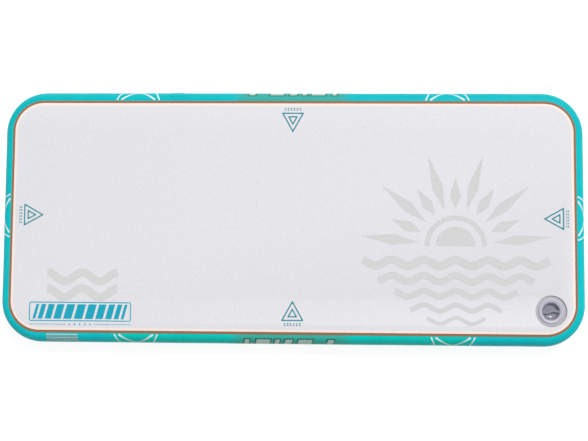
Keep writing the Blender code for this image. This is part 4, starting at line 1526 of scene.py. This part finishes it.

# %% [markdown]
# A rubber ring seals the cap, and a flat rubber tether keeps it from being lost: a ring that can
# turn round the neck, with a strap that winds beside it and climbs to the cap. When the cap lifts,
# the ring stays and the strap's end goes along, but here the piece rides on neither body.

# %% Make the seal and the tether
TETHER_THICKNESS = 0.0012
WELL_WIDTH = CUP_INNER_RADIUS - NECK_RADIUS
TETHER_RING_INNER = NECK_RADIUS + GAP
TETHER_RING_OUTER = TETHER_RING_INNER + 0.36 * WELL_WIDTH
STRAP_WIDTH = 0.34 * WELL_WIDTH
STRAP_GAP = 0.06 * WELL_WIDTH
STRAP_SWEEP = math.radians(200)
STRAP_STEPS = 96
STRAP_LEAVES_RING = 0.20
STRAP_CLIMBS_FROM = 0.25
wire = (ring_high.z - ring_low.z) / 2

seal_section = circle(wire, PLUG_RADIUS + GAP + wire, ring_low.z + wire, ROUND_BAR_SIDES)
seal = lathe("cap_seal_ring", seal_section, WELD)
finish_piece(seal, moulded["seal_rubber"], "cap", stands_for=["cap_o_ring"])


def eased(share):
    inside = min(1, max(0, share))
    return inside * inside * (3 - 2 * inside)


def strap_loops():
    half_width = STRAP_WIDTH / 2
    half_height = TETHER_THICKNESS / 2
    corners = [
        (-half_width, half_height), (half_width, half_height),
        (half_width, -half_height), (-half_width, -half_height),
    ]
    section = rounded(corners, FINE_ROUNDING, steps=2)
    ring_middle = (TETHER_RING_INNER + TETHER_RING_OUTER) / 2
    strap_middle = TETHER_RING_OUTER + STRAP_GAP + half_width
    loops = []
    for step in range(STRAP_STEPS + 1):
        share = step / STRAP_STEPS
        away = eased(share / STRAP_LEAVES_RING)
        climb = eased((share - STRAP_CLIMBS_FROM) / (1 - STRAP_CLIMBS_FROM))
        radius = ring_middle + (strap_middle - ring_middle) * away
        height = tether_bottom + half_height + (strap_top - tether_top) * climb
        loops.append(upright(section, STRAP_SWEEP * share, radius, height))
    return loops


tether_bottom = WELL_FLOOR_Z + GAP
tether_top = tether_bottom + TETHER_THICKNESS
strap_top = CAP_UNDERSIDE_Z - GAP
tether = flat_ring("tether_strap", TETHER_RING_INNER, TETHER_RING_OUTER, tether_bottom, tether_top)
tether = cut(tether, skin("strap_tool", strap_loops(), False), "UNION")
rubber = moulded["tether_rubber"]
finish_piece(tether, rubber, None, stands_for=["cap_tether"])
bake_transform(tether)

# %% [markdown]
# Under the cap sits the working part: a stem with a button on top, guided by a spider and pushed up
# by a spring. They show as soon as the cap is off. The stem is turned like the rest, and its two
# lock wings are one small plate through it, joined on by a union.

# %% Make the stem
STEM_RADIUS = 0.0028
BUTTON_RADIUS = 0.0075
BUTTON_HEIGHT = 0.0052
COLLAR_REACH = 0.0032
COLLAR_HEIGHT = 0.0012
WING_REACH = 0.0014
WING_WIDTH = 0.0016
WING_HEIGHT = 0.0015
WING_LIFT = 0.00075
STEM_ROUNDING = 0.0007
STEM_STEPS = 64
stem_low, stem_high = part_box("valve_stem")
button_z = stem_high.z - BUTTON_HEIGHT

stem_profile = [
    (0, stem_high.z),
    (BUTTON_RADIUS, stem_high.z),
    (BUTTON_RADIUS, button_z),
    (STEM_RADIUS, button_z),
    (STEM_RADIUS, valve_low.z + COLLAR_HEIGHT),
    (STEM_RADIUS + COLLAR_REACH, valve_low.z + COLLAR_HEIGHT),
    (STEM_RADIUS + COLLAR_REACH, valve_low.z),
    (STEM_RADIUS, valve_low.z),
    (STEM_RADIUS, stem_low.z),
    (0, stem_low.z),
]
wing_x = STEM_RADIUS + WING_REACH
wing_y = WING_WIDTH / 2
wing_corners = [(-wing_x, -wing_y), (wing_x, -wing_y), (wing_x, wing_y), (-wing_x, wing_y)]
wing_outline = [(VALVE_X + x, VALVE_Y + y) for x, y in wing_corners]
stem = lathe("stem_and_button", stem_profile, STEM_ROUNDING, STEM_STEPS)
stem = cut(stem, plate("wings", [wing_outline], guide_high.z + WING_LIFT, WING_HEIGHT), "UNION")
finish_piece(stem, moulded["stem_plastic"], "stem", stands_for=["valve_stem"])

# %% [markdown]
# The spider is a plate with three windows for the air, and a hole with two slots that lets the
# wings through in one position only. Cutting each window with a boolean would work, but a filled
# curve takes them all as inner outlines at once.

# %% Make the stem's guide
GUIDE_HUB_RADIUS = 0.0075
GUIDE_RIM_WIDTH = 0.0026
GUIDE_SPOKE_WIDTH = 0.0026
GUIDE_ROUNDING = 0.0002
SPOKES = 3
WINDOW_STEPS = 32
HOLE_STEPS = 16


def window_arc(radius, spoke, steps):
    # From one spoke's side to the next one's
    edge = GUIDE_SPOKE_WIDTH / 2 / radius
    start = FULL_TURN * spoke / SPOKES + edge
    return arc(0, 0, radius, start, FULL_TURN / SPOKES - 2 * edge, steps)


def guide_outlines():
    rim = NECK_BORE_RADIUS - GAP
    window_radius = min(rim - GUIDE_RIM_WIDTH, LOWER_BORE_RADIUS)
    outlines = [circle(rim)]
    for spoke in range(SPOKES):
        inner = window_arc(GUIDE_HUB_RADIUS, spoke, HOLE_STEPS)
        outlines.append(window_arc(window_radius, spoke, WINDOW_STEPS) + inner[::-1])
    hole = STEM_RADIUS + GAP
    slot_half = wing_y + GAP
    edge = math.asin(slot_half / hole)
    keyhole = []
    for flip in (1, -1):
        turn = QUARTER * (1 - flip)
        keyhole.append((flip * (wing_x + GAP), -flip * slot_half))
        keyhole.append((flip * (wing_x + GAP), flip * slot_half))
        keyhole += arc(0, 0, hole, turn + edge, 2 * QUARTER - 2 * edge, HOLE_STEPS)
    outlines.append(keyhole)
    return [[(VALVE_X + x, VALVE_Y + y) for x, y in outline] for outline in outlines]


guide = plate("stem_guide_spider", guide_outlines(), guide_low.z, guide_high.z - guide_low.z)
guide = round_edges(guide, GUIDE_ROUNDING, segments=2)
finish_piece(guide, moulded["stem_plastic"], stands_for=["stem_guide"])

# %% [markdown]
# The spring is a round wire along a helix, from its seat up under the button. It rides on the root
# with the fixed pieces, so it keeps its length when the button goes down.

# %% Wind the spring
SPRING_WIRE = 0.0009
SPRING_TURNS = 5
SPRING_TURN_STEPS = 32
SPRING_SIDES = 12
spring_low, spring_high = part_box("valve_spring")
spring_radius = (spring_high.x - spring_low.x) / 2 - SPRING_WIRE / 2


def spring_loops():
    section = circle(SPRING_WIRE / 2, steps=SPRING_SIDES)
    low = spring_low.z + SPRING_WIRE / 2
    rise = spring_high.z - SPRING_WIRE / 2 - low
    steps = SPRING_TURNS * SPRING_TURN_STEPS
    loops = []
    for step in range(steps + 1):
        angle = FULL_TURN * step / SPRING_TURN_STEPS
        loops.append(upright(section, angle, spring_radius, low + rise * step / steps))
    return loops


spring = skin("stem_spring", spring_loops(), False)
finish_piece(spring, moulded["spring_steel"], stands_for=["valve_spring"])
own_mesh(spring)

# %% [markdown]
# Five small pieces have the right shape already and never face the viewer: the nut and gasket that
# clamp the valve, and the washer, seal disc and clip on the stem. They stay as they are, and only
# their finish changes.

# %% Finish the hidden hard pieces
PLAIN_PIECES = {
    "valve_nut": "valve_plastic",
    "valve_gasket": "seal_rubber",
    "spring_washer": "spring_steel",
    "valve_diaphragm": "seal_rubber",
    "diaphragm_clip": "stem_plastic",
}

for node, finish_name in PLAIN_PIECES.items():
    for material_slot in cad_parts[node].material_slots:
        material_slot.material = moulded[finish_name]
    print(node, "wears", finish_name)

# %% [markdown]
# ## The cut of each cloth
#
# Before it was glued and blown up, every cloth here lay flat: the bands as long strips, the sheets,
# core faces and patches as plates. Each is listed and printed with the size that it was cut to; the
# strips' sizes follow from the wall and the seam.

SEAM_LENGTH = running_lengths([spot for spot, out in STATIONS])[-1]
inner_wall = 2 * QUARTER * math.sqrt((inner_bulge ** 2 + inner_half_height ** 2) / 2)


def plate_cut(inset, hole):
    # Width and length of a rounded plate, and its area without the hole
    width = 2 * (SEAM_HALF_WIDTH - inset)
    length = 2 * (SEAM_HALF_LENGTH - inset)
    corners = (4 - 2 * QUARTER) * (SEAM_RADIUS - inset) ** 2
    return (width, length), width * length - corners - 2 * QUARTER * hole ** 2


def disc_cut(radius):
    return (2 * radius, 2 * radius), 2 * QUARTER * (radius ** 2 - VALVE_HOLE_RADIUS ** 2)


def strip_cut(width, length):
    return (width, length), None


strip_width = strip_high.x - strip_low.x
both_sheets = [top_sheet, bottom_sheet]
for cloth, (flat, area), held, rests_on in (
    (outer_band, strip_cut(WALL_LENGTH + 2 * OUTER_LAP, SEAM_LENGTH), "stretched", both_sheets),
    (inner_band, strip_cut(inner_wall + 2 * INNER_LAP, SEAM_LENGTH), "stretched", both_sheets),
    (joint_strip, strip_cut(strip_width, WALL_LENGTH * STRIP_SPAN_SHARE), "laid", [outer_band]),
    (top_sheet, plate_cut(0, VALVE_HOLE_RADIUS), "stretched", [upper_face]),
    (bottom_sheet, plate_cut(0, 0), "stretched", [outer_band]),
    (upper_face, plate_cut(core_inset, core_hole), "stretched", [threads]),
    (lower_face, plate_cut(core_inset, 0), "stretched", [bottom_sheet]),
    (patch, disc_cut(patch_radius), "laid", [top_sheet]),
    (backing, disc_cut(backing_radius), "laid", [top_sheet]),
):
    print(f"{cloth.name}: cut to {flat[0]:.3f} x {flat[1]:.3f} m")

# %% [markdown]
# ## Floor and light
#
# The photograph is a studio shot on white. The floor here is pale and matt. For the camera it also
# glows a little, so that it reads as white without more light on the mat, and it still darkens
# under the mat's edge. A brighter lamp would whiten the floor too, but it would bleach the deck.

# %% Lay the floor
FLOOR_HALF_SIZE = 9
FLOOR_DROP = 0.0004
FLOOR_GLOW = 0.82
FLOOR_SEEN = (0.40, 0.40, 0.40)
FLOOR_PLAIN = (0.50, 0.50, 0.50)

floor_work = bmesh.new()
bmesh.ops.create_grid(floor_work, x_segments=1, y_segments=1, size=FLOOR_HALF_SIZE)
floor = from_bmesh("floor", floor_work)
floor.location.z = -FLOOR_DROP


def look_and_light(tree, output, look, light):
    # Shows one shader to the camera, also in gloss and through glass, and lights with the other
    rays = add_node(tree, "LightPath").outputs
    direct = combine(tree, "MAXIMUM", rays["Is Camera Ray"], rays["Is Glossy Ray"])
    looking = combine(tree, "MAXIMUM", direct, rays["Is Transmission Ray"])
    choice = add_node(tree, "MixShader", {"Fac": looking, 1: light, 2: look})
    tree.links.new(choice.outputs["Shader"], output.inputs["Surface"])


floor_finish = bpy.data.materials.new("floor_paper")
floor_finish.use_nodes = True
tree = floor_finish.node_tree
tree.nodes.remove(tree.nodes["Principled BSDF"])
glow = add_node(tree, "Emission", {"Strength": FLOOR_GLOW}).outputs["Emission"]
seen_paper = add_node(tree, "BsdfDiffuse", {"Color": (*FLOOR_SEEN, 1)}).outputs["BSDF"]
plain_paper = add_node(tree, "BsdfDiffuse", {"Color": (*FLOOR_PLAIN, 1)}).outputs["BSDF"]
glowing_paper = add_node(tree, "AddShader", {0: glow, 1: seen_paper}).outputs["Shader"]
look_and_light(tree, tree.nodes["Material Output"], glowing_paper, plain_paper)
floor.data.materials.append(floor_finish)
print("floor half size:", FLOOR_HALF_SIZE, "m")

# %% [markdown]
# One lamp high on the far side and an even white room light the scene. The lamp's spread is small,
# so the shadow in the cap stays readable, and the room fills the shadows. The camera sees the room
# as plain white, whatever its strength.

# %% Light the room
ROOM_LIGHT = 0.45
LAMP_LIGHT = 2.25
LAMP_PLACE = (1.15, 2.12, 3.1)
LAMP_SPREAD = math.radians(6)

world = bpy.data.worlds.new("studio")
bpy.context.scene.world = world
world.use_nodes = True
tree = world.node_tree
tree.nodes.clear()
white = (1, 1, 1, 1)
room_light = add_node(tree, "Background", {"Color": white, "Strength": ROOM_LIGHT})
room_white = add_node(tree, "Background", {"Color": white, "Strength": 1})
outputs = [shade.outputs["Background"] for shade in (room_white, room_light)]
look_and_light(tree, add_node(tree, "OutputWorld"), *outputs)

lamp_data = bpy.data.lights.new("soft_lamp", "SUN")
lamp_data.energy = LAMP_LIGHT
lamp_data.angle = LAMP_SPREAD
lamp = link("soft_lamp", lamp_data)
lamp.location = LAMP_PLACE
lamp.rotation_euler = (-Vector(LAMP_PLACE)).to_track_quat("-Z", "Y").to_euler()
bpy.context.scene.view_settings.view_transform = "Standard"
lamp_height = math.atan2(LAMP_PLACE[2], math.hypot(*LAMP_PLACE[:2]))
print("lamp stands", round(math.degrees(lamp_height)), "degrees high")
